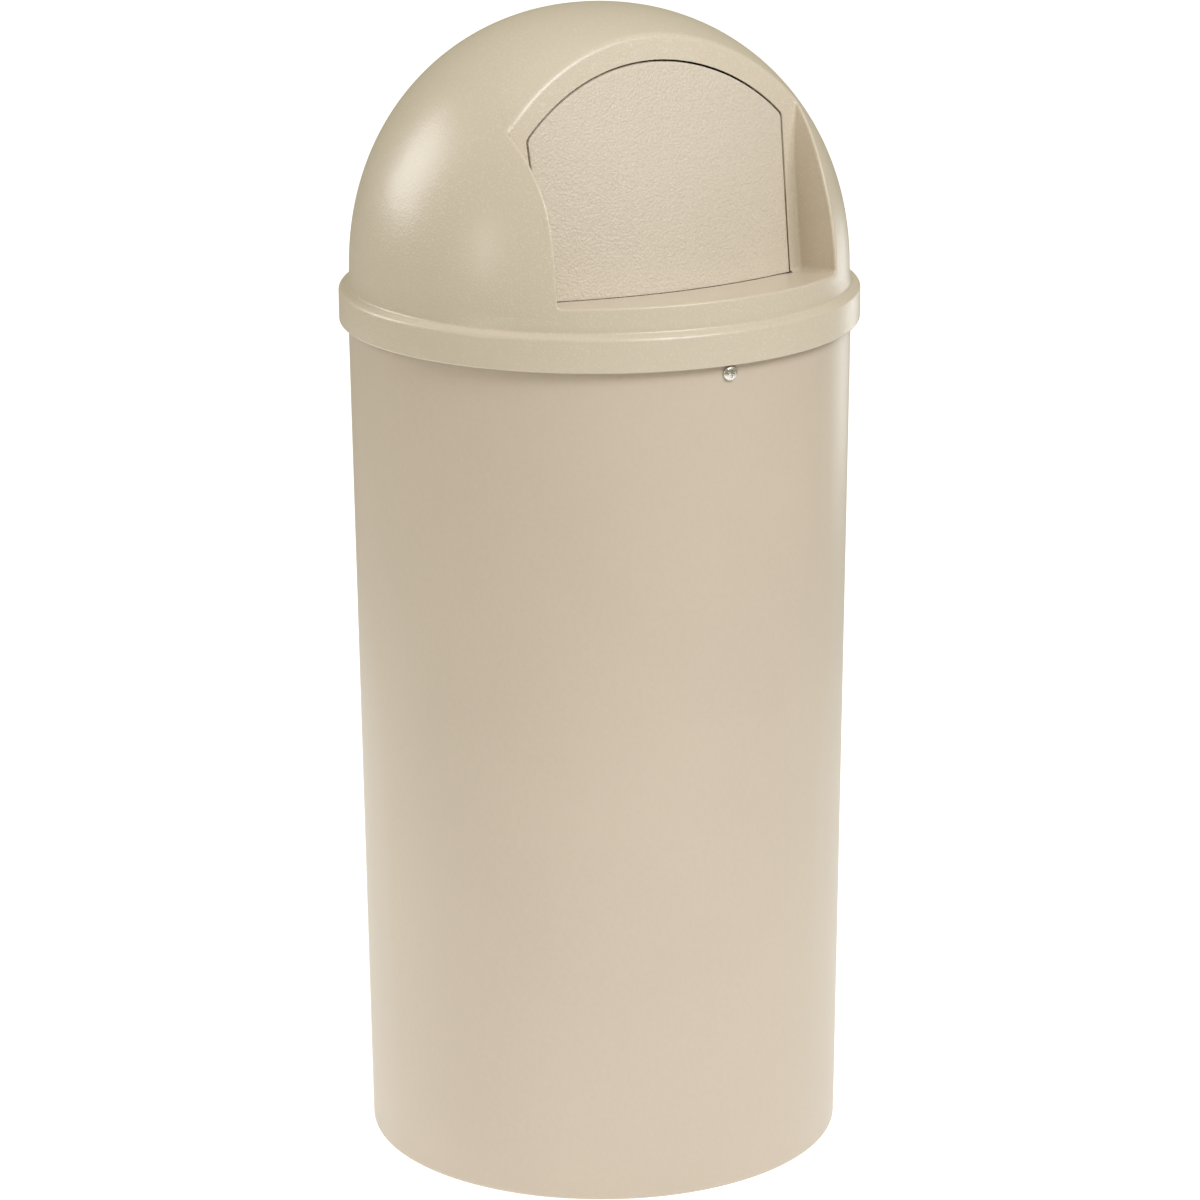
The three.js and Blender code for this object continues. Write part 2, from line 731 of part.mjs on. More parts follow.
// The wire's path: an end in the boss, the coil round the rod, and a leg down the door's back.
class SpringPath extends THREE.Curve {
  constructor(side) {
    super();
    this.side = side;
    const pressHeight = hingeHeight - springLegDrop;
    const coilEnd = knuckleStart + knuckleLength + springWire;
    const pressForward = faceAt(coilEnd, pressHeight) - doorWall - seatGap - springWire / 2;
    const reach = Math.hypot(pressForward - hingeForward, springLegDrop);
    const aim = Math.atan2(-springLegDrop, pressForward - hingeForward);
    this.endTurn = aim + Math.acos(springCoilRadius / reach);
    this.legLength = Math.sqrt(reach ** 2 - springCoilRadius ** 2);
    this.coilEnd = coilEnd;
    this.coilStart = hingeBossStart - springWire;
    this.tailLength = hingeBossLength / 2 + springWire;
    this.startTurn = Math.PI;
    this.turned = this.endTurn - this.startTurn - 2 * Math.PI * springTurns;
    this.coilLength = Math.abs(this.turned) * springCoilRadius;
    this.total = this.tailLength + this.coilLength + this.legLength;
  }

  getPoint(t, target = new THREE.Vector3()) {
    const travelled = t * this.total;
    if (travelled < this.tailLength) {
      const x = this.coilStart + this.tailLength - travelled;
      return target.set(this.side * x, hingeY + springCoilRadius, hingeHeight);
    }
    const share = Math.min(1, (travelled - this.tailLength) / this.coilLength);
    const angle = this.startTurn + this.turned * share;
    const along = Math.max(0, travelled - this.tailLength - this.coilLength);
    const x = THREE.MathUtils.lerp(this.coilStart, this.coilEnd, share);
    const forward = springCoilRadius * Math.cos(angle) + along * Math.sin(angle);
    const rise = springCoilRadius * Math.sin(angle) - along * Math.cos(angle);
    return target.set(this.side * x, hingeY - forward, hingeHeight + rise);
  }
}

function doorSpring(side) {
  const section = new THREE.Shape();
  section.absarc(0, 0, springWire / 2, 0, 2 * Math.PI, false);
  const geometry = new THREE.ExtrudeGeometry(section, {
    steps: springSteps,
    curveSegments: 3,
    bevelEnabled: false,
    extrudePath: new SpringPath(side),
  });
  return toSolid(geometry);
}

// ---- Latches ------------------------------------------------------------------------------

function latchScrew() {
  const crown = screwHeadHeight;
  const edge = screwHeadEdge;
  const profile = [[0, 0], [screwHeadRadius - screwHeadChamfer, 0], [screwHeadRadius, edge]];
  for (let i = 1; i < headRings; i++) {
    const turn = (i / headRings) * Math.PI / 2;
    profile.push([screwHeadRadius * Math.cos(turn), edge + (crown - edge) * Math.sin(turn)]);
  }
  profile.push([0, crown]);
  const head = revolved(profile, smallFacets)
    .rotate([90, 0, 0])
    .translate([0, -headSeat, latchHeight]);
  const shank = rodAlongY(shankEnd, headSeat + overcut, screwShankRadius, 0, latchHeight);
  const slotFloor = headSeat + crown - crossSlotDepth;
  const slot = (width, height) => block(
    [-width / 2, -(headSeat + crown + overcut), latchHeight - height / 2],
    [width / 2, -slotFloor, latchHeight + height / 2],
  );
  const cross = join(slot(crossSlotWidth, crossSlotLength), slot(crossSlotLength, crossSlotWidth));
  return cut(join(head, shank), cross);
}

function latchBush() {
  const body = rodAlongY(bushOuter - bushLength, bushOuter, bushRadius, 0, latchHeight);
  return cut(body, rodAlongY(0, skirtRadius, screwShankRadius + boreGap, 0, latchHeight));
}

function latchArm() {
  const shape = new THREE.Shape();
  const half = armWidth / 2;
  shape.absarc(0, latchHeight, half, Math.PI, 2 * Math.PI, false);
  shape.lineTo(half, latchHeight + armReach);
  shape.absarc(0, latchHeight + armReach, half, 0, Math.PI, false);
  shape.closePath();
  const plate = uprightPrism(shape, armOuter - armThickness, armOuter);
  return cut(plate, rodAlongY(0, skirtRadius, screwShankRadius + boreGap, 0, latchHeight));
}

function latchNut() {
  const nutInner = nutOuter - nutThickness;
  const hexagon = rodAlongY(nutInner, nutOuter, nutAcrossCorners / 2, 0, latchHeight, 6);
  return cut(hexagon, rodAlongY(0, skirtRadius, screwShankRadius + boreGap, 0, latchHeight));
}

// The keeper hangs inside the container, and the turned arm passes above its lip.
function latchKeeper() {
  const lipTop = latchHeight - armWidth / 2 - keeperLipBelowArm;
  const lipBottom = lipTop - keeperThickness;
  const lipOuter = armOuter + keeperGap;
  const strip = block(
    [keeperOffset - keeperStripWidth / 2, -keeperOuter, lipBottom],
    [keeperOffset + keeperStripWidth / 2, -keeperInner, keeperHeadTop],
  );
  const head = block(
    [keeperOffset - keeperHeadWidth / 2, -keeperOuter, keeperHeadBottom],
    [keeperOffset + keeperHeadWidth / 2, -keeperInner, keeperHeadTop],
  );
  const lip = block(
    [keeperOffset - keeperStripWidth / 2, -lipOuter, lipBottom],
    [keeperOffset + keeperStripWidth / 2, -keeperInner, lipTop],
  );
  const holes = keeperScrewPlaces.map(
    (x) => rodAlongY(
      0,
      skirtRadius,
      keeperScrewRadius + boreGap,
      x,
      keeperScrewHeight,
      pinFacets,
    ),
  );
  return cut(join(strip, head, lip), ...holes);
}

function keeperScrew(x) {
  const headOuter = keeperInner - seatGap;
  const headInner = headOuter - keeperScrewHeadHeight;
  const tip = padFace + keeperScrewGrip;
  const z = keeperScrewHeight;
  const head = rodAlongY(headInner, headOuter, keeperScrewHeadRadius, x, z);
  const shank = rodAlongY(headInner + overcut, tip, keeperScrewRadius, x, z, pinFacets);
  return join(head, shank);
}

// ---- Assembly -----------------------------------------------------------------------------

const receptacle = new THREE.Group();

function place(group, name, solid, material) {
  const mesh = new THREE.Mesh(toGeometry(solid), material);
  mesh.name = name;
  group.add(mesh);
}

place(receptacle, 'container_body', containerBody(), beige);
place(receptacle, 'bag_band', bagBand(), rubber);
place(receptacle, 'dome_top', domeTop(), beige);
place(receptacle, 'push_door', pushDoor(), beigeDoor);
place(receptacle, 'door_hinge_rod', hingeRod(), steel);
for (const [side, word] of [[-1, 'left'], [1, 'right']]) {
  place(receptacle, `rod_cap_${word}`, rodCap(side), steel);
  place(receptacle, `door_spring_${word}`, doorSpring(side), steel);
  place(receptacle, `door_bumper_${word}`, doorBumper(side), rubber);
}
for (const [turn, word] of [[0, 'front'], [Math.PI, 'rear']]) {
  const latch = new THREE.Group();
  latch.rotation.z = turn;
  place(latch, `latch_screw_${word}`, latchScrew(), steel);
  place(latch, `latch_bush_${word}`, latchBush(), nylon);
  place(latch, `latch_arm_${word}`, latchArm(), steel);
  place(latch, `latch_nut_${word}`, latchNut(), steel);
  place(latch, `latch_keeper_${word}`, latchKeeper(), steel);
  keeperScrewPlaces.forEach((x, i) => {
    place(latch, `keeper_screw_${word}_${i + 1}`, keeperScrew(x), steel);
  });
  receptacle.add(latch);
}

export default receptacle;
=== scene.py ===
import math

import bmesh
import bpy
import numpy as np
from mathutils import Matrix, Vector


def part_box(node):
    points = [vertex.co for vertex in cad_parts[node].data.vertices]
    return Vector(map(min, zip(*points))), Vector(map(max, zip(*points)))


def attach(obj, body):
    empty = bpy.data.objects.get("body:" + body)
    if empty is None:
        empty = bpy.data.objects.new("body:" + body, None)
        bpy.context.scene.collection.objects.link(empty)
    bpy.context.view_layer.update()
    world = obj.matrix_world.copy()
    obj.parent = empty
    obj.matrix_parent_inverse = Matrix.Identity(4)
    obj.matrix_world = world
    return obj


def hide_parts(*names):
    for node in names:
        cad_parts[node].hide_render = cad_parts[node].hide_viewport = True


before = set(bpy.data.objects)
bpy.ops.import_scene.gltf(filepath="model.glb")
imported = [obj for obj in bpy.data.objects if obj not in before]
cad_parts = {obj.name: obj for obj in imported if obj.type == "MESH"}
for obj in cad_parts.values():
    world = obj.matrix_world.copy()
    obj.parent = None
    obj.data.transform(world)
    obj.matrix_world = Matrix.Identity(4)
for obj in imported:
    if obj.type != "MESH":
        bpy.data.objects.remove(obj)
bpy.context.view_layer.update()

bl_info = {
    "name": "Dome Top Waste Receptacle",
    "version": (1, 0, 0),
    "blender": (4, 5, 0),
    "location": "3D View > Sidebar > Receptacle",
    "description": "Dresses the receptacle's container, dome, push door, hinge and latches",
    "category": "Add Mesh",
}

MM = 0.001

# ---- Places taken from the frame, in millimetres ----------------------------------------------


def box_mm(node):
    """The low and high corners of a CAD node."""
    low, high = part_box(node)
    return np.array(low) / MM, np.array(high) / MM


def reach_of(node, sign):
    """A node's corners, and how far its near and far faces stand from the axis towards sign * Y."""
    low, high = box_mm(node)
    near, far = sorted((sign * low[1], sign * high[1]))
    return low, high, near, far


CONTAINER_HIGH = box_mm("container_body")[1]
DOME_LOW, DOME_HIGH = box_mm("dome_top")
DOOR_HIGH = box_mm("push_door")[1]
BAND_LOW, BAND_HIGH = box_mm("bag_band")
ROD_LOW, ROD_HIGH = box_mm("door_hinge_rod")

RIM_HEIGHT = CONTAINER_HIGH[2]
RIM_RADIUS = CONTAINER_HIGH[0]
SKIRT_RADIUS = DOME_HIGH[0]
SKIRT_BOTTOM = DOME_LOW[2]
DOME_TOP = DOME_HIGH[2]
HINGE_Y = (ROD_LOW[1] + ROD_HIGH[1]) / 2
HINGE_Z = (ROD_LOW[2] + ROD_HIGH[2]) / 2
ROD_RADIUS = (ROD_HIGH[1] - ROD_LOW[1]) / 2

# Each latch's word in the names, and the sign of the Y that points out of the container there.
LATCH_SIGNS = {"front": -1, "rear": 1}

# ---- The container and its band, in millimetres -----------------------------------------------

BASE_RADIUS = 220.7
BASE_ROUND = 5
CONTAINER_WALL = 4.5
CONTAINER_RIM_ROUND = 2
FLOOR_UNDERSIDE = 12
FLOOR_UNDERSIDE_ROUND = 3
FLOOR_TOP = 17
FLOOR_FILLET = 14
STANDING_RING_WIDTH = 9
STANDING_RING_ROUND = 1
SEAT_GAP = 0.3
GROOVE_EDGE_ROUND = 0.4
GROOVE_FOOT_ROUND = 0.3
BAND_THICKNESS = 1.6
BAND_INNER_ROUND = 0.5
BAND_OUTER_ROUND = 0.6
BAND_CROWN = 0.3
BAND_CROWN_ROUND = 8

# ---- The dome, in millimetres -----------------------------------------------------------------

SHOULDER_RADIUS = 229.8
SHOULDER_HEIGHT = 815.3
SHOULDER_ROUND = 3
SKIRT_TOP = 812.6
SKIRT_TOP_ROUND = 4.2
SKIRT_EDGE_ROUND = 2
SKIRT_INNER_ROUND = 1.5
SPRINGING_RADIUS = 228.24
SPRINGING_HEIGHT = 827.4
DOME_POWER = 2.08

# The door face: its distance in front of the axis at a reference height, how far it leans back for
# each millimetre up, and its sideways bulge, which flattens towards the top.
FACE_REACH = 146.9
FACE_REFERENCE = 835
FACE_LEAN = 0.28
FACE_BULGE = 0.0012
FACE_FLATTENING = 0.00000625

CHEEK_HALF = 138.7
CHEEK_SPREAD = 0.02
CHEEK_FLARE = 0.0018
CHEEK_FLARE_START = 920
CHEEK_SLOPE = 0.065
CHEEK_TWIST = 0.0008
CHEEK_LEAST_SLOPE = 0.002
CHEEK_FOOT_START = 30
CHEEK_FOOT_BLEND = 25
SILL_BACK = 831.0
SILL_SLOPE = 0.102
SILL_TOE = 3.0
SILL_TOE_SHARE = 1 / 8
EDGE_BLEND_START = 842
EDGE_BLEND_HEIGHT = 22

# The doorway's lip, which slopes down behind its low edge to clear the door.
LIP_HEIGHT = 831.65
LIP_ROUND = 0.3
LIP_SLOPE_HEIGHT = 4
LIP_SLOPE_RUN = 2.5
LIP_SLOPE_DROP = 3.4
LIP_BACK = 0.6
LIP_RINGS = 5

# The direction that the rings are pressed onto the dome's front, which turns aside near a cheek.
PRESS_DOWN = math.radians(30)
PRESS_ASIDE = 0.45
PRESS_ASIDE_START = 90
PRESS_ASIDE_BLEND = 35

RIB_COUNT = 8
RIB_WIDTH = 4
RIB_LIFT = 4.5
RIB_OVERLAP = 1
PAD_MARGIN = 2
PAD_SCREW_DEPTH = 4.4
PAD_SINK = 6
PAD_LIFT = 6
PAD_ROUND = 1.0

# ---- The push door and its hinge, in millimetres ----------------------------------------------

DOOR_HALF = 124.4
DOOR_SPREAD = 0.043
DOOR_BOTTOM = 831.8
DOOR_MIDDLE = 935
DOOR_WALL = 3.6
DOOR_WALL_FILLET = 1.0
DOOR_FRONT_ROUND = 0.4
DOOR_RIM_DEPTH = 8
DOOR_RIM_WIDTH = 3
DOOR_RIM_ROUND = 0.6
DOOR_EDGE_INSET = 3.2
DOOR_FLOOR_INSET = 6
DOOR_INNERMOST_INSET = 66
DOOR_FRONT_INSETS = (66, 52, 40, 30, 21, 14, 9, 5.5)
DOOR_BACK_INSETS = (10, 18, 30, 46, 66)
DOOR_MIDDLE_SHARES = (0, 0.15, 0.3, 0.5, 0.75)
DOOR_RIB_WIDTH = 2.5
DOOR_RIB_SINK = 0.4
DOOR_RIB_ROWS = (880, 930)
DOOR_RIB_COLUMNS = (-62, 0, 62)
ARCH_RADIUS = 177
ARCH_TOP = 1028.4
ARCH_CORNER = 4
FRAME_WALL = 5
TAB_MARGIN = 8
TAB_THICKNESS = 3
TAB_ROUND = 0.6
BUMPER_THICKNESS = 2
BUMPER_ROUND = 0.5

KNUCKLE_RADIUS = 6.5
KNUCKLE_START = 76
KNUCKLE_LENGTH = 14
KNUCKLE_FOOT_TOP = 2.2
BOSS_START = 105.5
BOSS_LENGTH = 9
BOSS_RADIUS = 7
BORE_GAP = 0.3
ROD_CLEARANCE = 1.5
ROD_END_ROUND = 0.6
CAP_ROUND = 1.2
WIRE_WIDTH = 1.6
COIL_RADIUS = 5.4
COIL_TURNS = 4
COIL_LEG_DROP = 34

# ---- The latches, in millimetres --------------------------------------------------------------

SHANK_RADIUS = 3.0
ARM_ROUND = 0.5
NUT_SIDES = 6
NUT_ROUND = 0.4
LATCH_HEAD_HEIGHT = 4.4
LATCH_HEAD_EDGE = 0.8
LATCH_HEAD_ROUND = 0.5
SHANK_ROOT_ROUND = 0.3
SHANK_END_ROUND = 0.5
CROSS_DEPTH = 2.2
CROSS_HALF_WIDTH = 0.85
CROSS_HALF_LENGTH = 4.2
CROSS_SLOPE = 0.45
CROSS_END_SLOPE = 1.08
KEEPER_HEAD_HEIGHT = 13.0
KEEPER_STRIP_HALF = 7.0
KEEPER_THICKNESS = 2.0
KEEPER_SKIN = 0.05
KEEPER_ROUND = 0.5
PAN_SHANK_RADIUS = 1.8
PAN_HEAD_HEIGHT = 2.2
PAN_HEAD_ROUND = 0.3
PAN_ROOT_ROUND = 0.2
PAN_CROWN = 0.9
PAN_POINT = 1.5
PAN_CROSS_DEPTH = 1.1
PAN_CROSS_SHRINK = 2

# ---- How finely each form is drawn ------------------------------------------------------------

WELD = 0.002
NUDGE = 1e-4
PASSES = 12
TURNED_STEPS = 240
SMALL_STEPS = 48
LATCH_HEAD_STEPS = 96
LATCH_HEAD_RINGS = 46
PAN_HEAD_STEPS = 72
PAN_HEAD_RINGS = 26
ARM_END_STEPS = 24
NUT_STEPS = 36
DOOR_RIB_STEPS = 24
DOOR_RIB_RISE_STEPS = 14
TAB_STEPS = 12
WIRE_STEPS = 420
WIRE_SIDES = 14
ARCH_STEPS = 89
ARCH_CORNER_STEPS = 16
STATIONS_ACROSS = 84
STATIONS_UP = 64
BACK_COLUMNS = 96
FRAME_RINGS = 10
CHEEK_RINGS = 24
OUTER_RINGS = 26
OUTER_CROWDING = 1.5
CROWN_RINGS = 14
CURVE_STEPS = 400

# The front patch of the dome's mesh: its lowest and highest rows and its half angles there.
PATCH_BOTTOM = 826.0
PATCH_TOP = 1058.0
PATCH_TURN_LOW = math.radians(54)
PATCH_TURN_HIGH = math.radians(80)

# How far the rings beside a corner line of the recess keep from it: at the sill, and at the arch.
INNER_MARGINS = (0.5, 6)
OUTER_MARGINS = (2.5, 7)
MARGIN_START = 0.55
INNER_MARGIN_LIMIT = 0.8
OUTER_MARGIN_LIMIT = 0.5

# Where searches begin and end, in millimetres, and in radians for the cheek's angle.
LIP_SEARCH = (-5, 12)
CREASE_SEARCH = (900.0, 1040.0)
CREST_SEARCH = (900.0, 1066.0)
CHEEK_TURN_SEARCH = (0.3, 1.1)

# ---- Sizes and colours that a user can change -------------------------------------------------


def length_property(name, description, default):
    """A property in metres."""
    return bpy.props.FloatProperty(name=name, description=description, default=default, unit="LENGTH")


def colour_property(name, description, default):
    """A property with a linear red, green and blue."""
    return bpy.props.FloatVectorProperty(
        name=name, description=description, default=default, size=3, subtype="COLOR"
    )


class ReceptacleSizes(bpy.types.PropertyGroup):
    """Walls, gaps and edge rounds that can be changed without moving what the frame holds."""

    dome_wall: length_property("Dome wall", "Thickness of the moulded dome", 0.005)
    door_gap: length_property("Door gap", "Gap all round the door", 0.0018)
    cheek_round: length_property("Cheek round", "Radius of the cheeks' outer edges", 0.003)
    rim_round: length_property("Sill edge round", "Radius of the sill's outer edge", 0.0022)
    sill_fillet: length_property("Sill fillet", "Radius where the sill meets the door frame", 0.0025)
    corner_fillet: length_property("Cheek fillet", "Radius where a cheek meets the frame", 0.003)
    cheek_foot: length_property("Cheek foot", "Radius where a cheek meets the sill", 0.0045)


class ReceptacleFinishes(bpy.types.PropertyGroup):
    """Colours and grains of the plastics."""

    container: colour_property("Container", "Colour of the container", (0.662, 0.574, 0.484))
    dome: colour_property("Dome", "Colour of the dome", (0.722, 0.640, 0.536))
    door: colour_property("Door", "Colour of the push door", (0.700, 0.628, 0.542))
    dome_grain: length_property("Dome grain", "Height of the dome's fine grain", 0.0002)
    door_grain: length_property("Door grain", "Height of the door's pebbled grain", 0.0007)


def sizes_mm():
    """The adjustable sizes in millimetres, by name."""
    group = bpy.context.scene.receptacle_sizes
    return {name: getattr(group, name) / MM for name in ReceptacleSizes.__annotations__}


# ---- Shader expressions -----------------------------------------------------------------------

# The sockets of a Mix node that mixes colours.
MIX_FACTOR = 0
MIX_FIRST = 6
MIX_SECOND = 7
MIX_RESULT = 2

WHITE = (1, 1, 1)
BLACK = (0, 0, 0)


class Signal:
    """A number, colour or vector on a node's output, used in plain expressions."""

    def __init__(self, finish, socket):
        self.finish = finish
        self.socket = socket

    def worked(self, operation, first, second):
        node = self.finish.node("ShaderNodeMath", {"operation": operation}, {0: first, 1: second})
        return Signal(self.finish, node.outputs[0])

    def __add__(self, other):
        return self.worked("ADD", self, other)

    def __sub__(self, other):
        return self.worked("SUBTRACT", self, other)

    def __rsub__(self, other):
        return self.worked("SUBTRACT", other, self)

    def __mul__(self, other):
        return self.worked("MULTIPLY", self, other)

    __radd__ = __add__
    __rmul__ = __mul__

    def limited(self, low, high):
        """Spread from 0 at low to 1 at high, smoothly, and held outside them."""
        settings = {"interpolation_type": "SMOOTHSTEP"}
        sockets = {"Value": self, "From Min": low, "From Max": high}
        return Signal(self.finish, self.finish.node("ShaderNodeMapRange", settings, sockets).outputs[0])


class Finish:
    """A material, built from named textures on object coordinates."""

    def __init__(self, name):
        self.material = bpy.data.materials.new(name)
        self.material.use_nodes = True
        self.tree = self.material.node_tree
        self.shader = self.tree.nodes["Principled BSDF"]
        self.place = Signal(self, self.node("ShaderNodeTexCoord").outputs["Object"])

    def node(self, kind, settings=None, sockets=None):
        """Adds a node: its settings first, then the values or links of its sockets."""
        made = self.tree.nodes.new(kind)
        for key, value in (settings or {}).items():
            setattr(made, key, value)
        for key, value in (sockets or {}).items():
            self.feed(made.inputs[key], value)
        return made

    def feed(self, socket, value):
        """Links a signal to a socket, or sets the socket to a plain value."""
        if isinstance(value, Signal):
            self.tree.links.new(value.socket, socket)
        elif isinstance(value, (tuple, list)) and socket.type == "RGBA":
            socket.default_value = (*value[:3], 1.0)
        else:
            socket.default_value = value

    def set(self, **sockets):
        """Sets the surface shader's sockets; an underscore stands for a space."""
        for name, value in sockets.items():
            self.feed(self.shader.inputs[name.replace("_", " ")], value)
        return self

    def noise(self, per_metre, detail, stretch=None):
        """Cloudy noise between 0 and 1, with so many cells in a metre."""
        place = self.stretched(stretch) if stretch else self.place
        sockets = {"Vector": place, "Scale": per_metre, "Detail": detail}
        return Signal(self, self.node("ShaderNodeTexNoise", {}, sockets).outputs["Fac"])

    def pebbles(self, per_metre, smoothness=0.6):
        """Rounded cells: 0 at a pebble's middle, rising to its edges."""
        sockets = {"Vector": self.place, "Scale": per_metre, "Smoothness": smoothness}
        node = self.node("ShaderNodeTexVoronoi", {"feature": "SMOOTH_F1"}, sockets)
        return Signal(self, node.outputs["Distance"])

    def stretched(self, factors):
        """The place on the object, with each axis multiplied by its factor."""
        sockets = {0: self.place, 1: factors}
        node = self.node("ShaderNodeVectorMath", {"operation": "MULTIPLY"}, sockets)
        return Signal(self, node.outputs[0])

    def between(self, share, first, second):
        """A colour that goes from first to second with share."""
        sockets = {MIX_FACTOR: share, MIX_FIRST: first, MIX_SECOND: second}
        node = self.node("ShaderNodeMix", {"data_type": "RGBA"}, sockets)
        return Signal(self, node.outputs[MIX_RESULT])

    def mottled(self, share, colour, darkest, lightest):
        """A colour that goes from its darkest to its lightest tint with share."""
        return self.between(share, shaded(colour, darkest), shaded(colour, lightest))

    def raised(self, height, depth):
        """Turns a height into the surface's normal; depth is in metres."""
        sockets = {"Height": height, "Distance": depth}
        node = self.node("ShaderNodeBump", {}, sockets)
        return self.set(Normal=Signal(self, node.outputs[0]))


def shaded(colour, factor):
    return tuple(value * factor for value in colour)


# ---- Finishes ---------------------------------------------------------------------------------


def container_plastic(name):
    """Satin plastic with a faint vertical ripple from the mould."""
    finish = Finish(name)
    cloud = finish.noise(per_metre=5, detail=3)
    mottle = finish.noise(per_metre=240, detail=2)
    tint = (cloud * 0.6 + mottle * 0.4).limited(low=0.3, high=0.7)
    skin = finish.noise(per_metre=900, detail=2)
    ripple = finish.noise(per_metre=9, detail=1, stretch=(1.0, 1.0, 0.25))
    plain = tuple(bpy.context.scene.receptacle_finishes.container)
    finish.set(
        Base_Color=finish.mottled(tint, plain, darkest=0.975, lightest=1.02),
        Roughness=cloud * 0.05 + mottle * 0.04 + 0.36,
        Specular_IOR_Level=0.55,
        Coat_Weight=0.5,
        Coat_Roughness=0.3,
    )
    return finish.raised(skin * 0.5 + ripple * 6.0, depth=0.00007).material


def dome_plastic(name):
    """Glossier plastic with a fine grain that sparkles in a highlight."""
    finish = Finish(name)
    group = bpy.context.scene.receptacle_finishes
    grain = finish.noise(per_metre=480, detail=2).limited(low=0.42, high=0.78)
    fine = finish.noise(per_metre=1100, detail=1)
    cloud = finish.noise(per_metre=6, detail=3)
    tint = (grain * 0.55 + cloud * 0.45).limited(low=0.32, high=0.68)
    finish.set(
        Base_Color=finish.mottled(tint, tuple(group.dome), darkest=0.965, lightest=1.035),
        Roughness=cloud * 0.04 + fine * 0.10 + 0.24,
        Specular_IOR_Level=0.55,
        Coat_Weight=0.45,
        Coat_Roughness=0.27,
    )
    return finish.raised(grain * 0.75 + fine * 0.25, depth=group.dome_grain).material


def door_plastic(name):
    """Plastic with a pebbled, leathery grain."""
    finish = Finish(name)
    group = bpy.context.scene.receptacle_finishes
    pebble = finish.pebbles(per_metre=430)
    wrinkle = finish.noise(per_metre=540, detail=3)
    cloud = finish.noise(per_metre=7, detail=2)
    relief = wrinkle * 0.7 - pebble * 0.6
    tint = (relief * 0.7 + cloud * 0.3).limited(low=-0.05, high=0.42)
    finish.set(
        Base_Color=finish.mottled(tint, tuple(group.door), darkest=0.95, lightest=1.03),
        Roughness=wrinkle * 0.12 + 0.32,
        Specular_IOR_Level=0.5,
    )
    return finish.raised(relief, depth=group.door_grain).material


def metal(name, colour, roughness, streak):
    """A plated metal with fine drawing marks along one axis and cloudy spangles."""
    finish = Finish(name)
    marks = finish.noise(per_metre=900, detail=3, stretch=streak)
    spangle = finish.noise(per_metre=160, detail=2)
    tint = (marks * 0.5 + spangle * 0.5).limited(low=0.3, high=0.7)
    finish.set(
        Base_Color=finish.mottled(tint, colour, darkest=0.90, lightest=1.05),
        Metallic=1.0,
        Roughness=marks * 0.12 + spangle * 0.08 + roughness,
    )
    return finish.raised(marks, depth=0.00002).material


def plated_steel(name):
    return metal(name, colour=(0.62, 0.62, 0.60), roughness=0.24, streak=(1.0, 1.0, 0.2))


def spring_steel(name):
    return metal(name, colour=(0.46, 0.46, 0.45), roughness=0.22, streak=(0.2, 1.0, 1.0))


def screw_steel(name):
    return metal(name, colour=(0.80, 0.79, 0.77), roughness=0.08, streak=(1.0, 0.4, 1.0))


def black_rubber(name):
    """Matte rubber with a dusty bloom."""
    finish = Finish(name)
    dust = finish.noise(per_metre=260, detail=3)
    bloom = finish.noise(per_metre=30, detail=2).limited(low=0.35, high=0.7)
    finish.set(
        Base_Color=finish.between(bloom, first=(0.018, 0.018, 0.016), second=(0.036, 0.035, 0.032)),
        Roughness=dust * 0.15 + 0.62,
    )
    return finish.raised(dust, depth=0.0001).material


def white_nylon(name):
    """Natural nylon, which lets a little light in below its skin."""
    finish = Finish(name)
    haze = finish.noise(per_metre=220, detail=2)
    tint = haze.limited(low=0.3, high=0.7)
    finish.set(
        Base_Color=finish.between(tint, first=(0.70, 0.68, 0.62), second=(0.78, 0.76, 0.70)),
        Roughness=haze * 0.1 + 0.38,
        Subsurface_Weight=0.1,
    )
    return finish.raised(haze, depth=0.00005).material


FINISH_MAKERS = (
    container_plastic, dome_plastic, door_plastic, plated_steel, spring_steel, screw_steel,
    black_rubber, white_nylon,
)


def finish_for(slot):
    """The finish of a slot, made when it is first needed."""
    name = f"{slot}_finish"
    if name not in bpy.data.materials:
        {maker.__name__: maker for maker in FINISH_MAKERS}[slot](name)
    return bpy.data.materials[name]


# ---- Lines, rings and meshes ------------------------------------------------------------------


def eased(share):
    """A share from 0 to 1 with a smooth start and end."""
    return share * share * (3 - 2 * share)


def soft_line(corners, steps=6):
    """A line through [across, up, round] corners; a corner's round is the radius of its arc."""
    spots = [np.array(corner[:2], float) for corner in corners]
    line = [spots[0]]
    for before, here, after, corner in zip(spots, spots[1:], spots[2:], corners[1:]):
        radius = corner[2] if len(corner) > 2 else 0
        if radius == 0:
            line.append(here)
            continue
        back = (before - here) / np.linalg.norm(before - here)
        ahead = (after - here) / np.linalg.norm(after - here)
        half = math.acos(np.clip(back @ ahead, -1, 1)) / 2
        middle = here + (back + ahead) / np.linalg.norm(back + ahead) * radius / math.sin(half)
        first = here + back * radius / math.tan(half) - middle
        last = here + ahead * radius / math.tan(half) - middle
        turn = math.pi - 2 * half
        for i in range(steps + 1):
            share = i / steps
            spoke = first * math.sin((1 - share) * turn) + last * math.sin(share * turn)
            line.append(middle + spoke / math.sin(turn))
    line.append(spots[-1])
    return np.array(line)


def turned(line, angles):
    """Rows of points from [radius, height] pairs, turned about +Z from the front (-Y) towards +X."""
    line = np.asarray(line, float)
    height = np.repeat(line[:, 1:2], len(angles), axis=1)
    across = np.outer(line[:, 0], np.sin(angles))
    ahead = np.outer(line[:, 0], np.cos(angles))
    return np.stack([across, -ahead, height], axis=-1)


def full_turn(steps):
    return np.arange(steps) * 2 * math.pi / steps


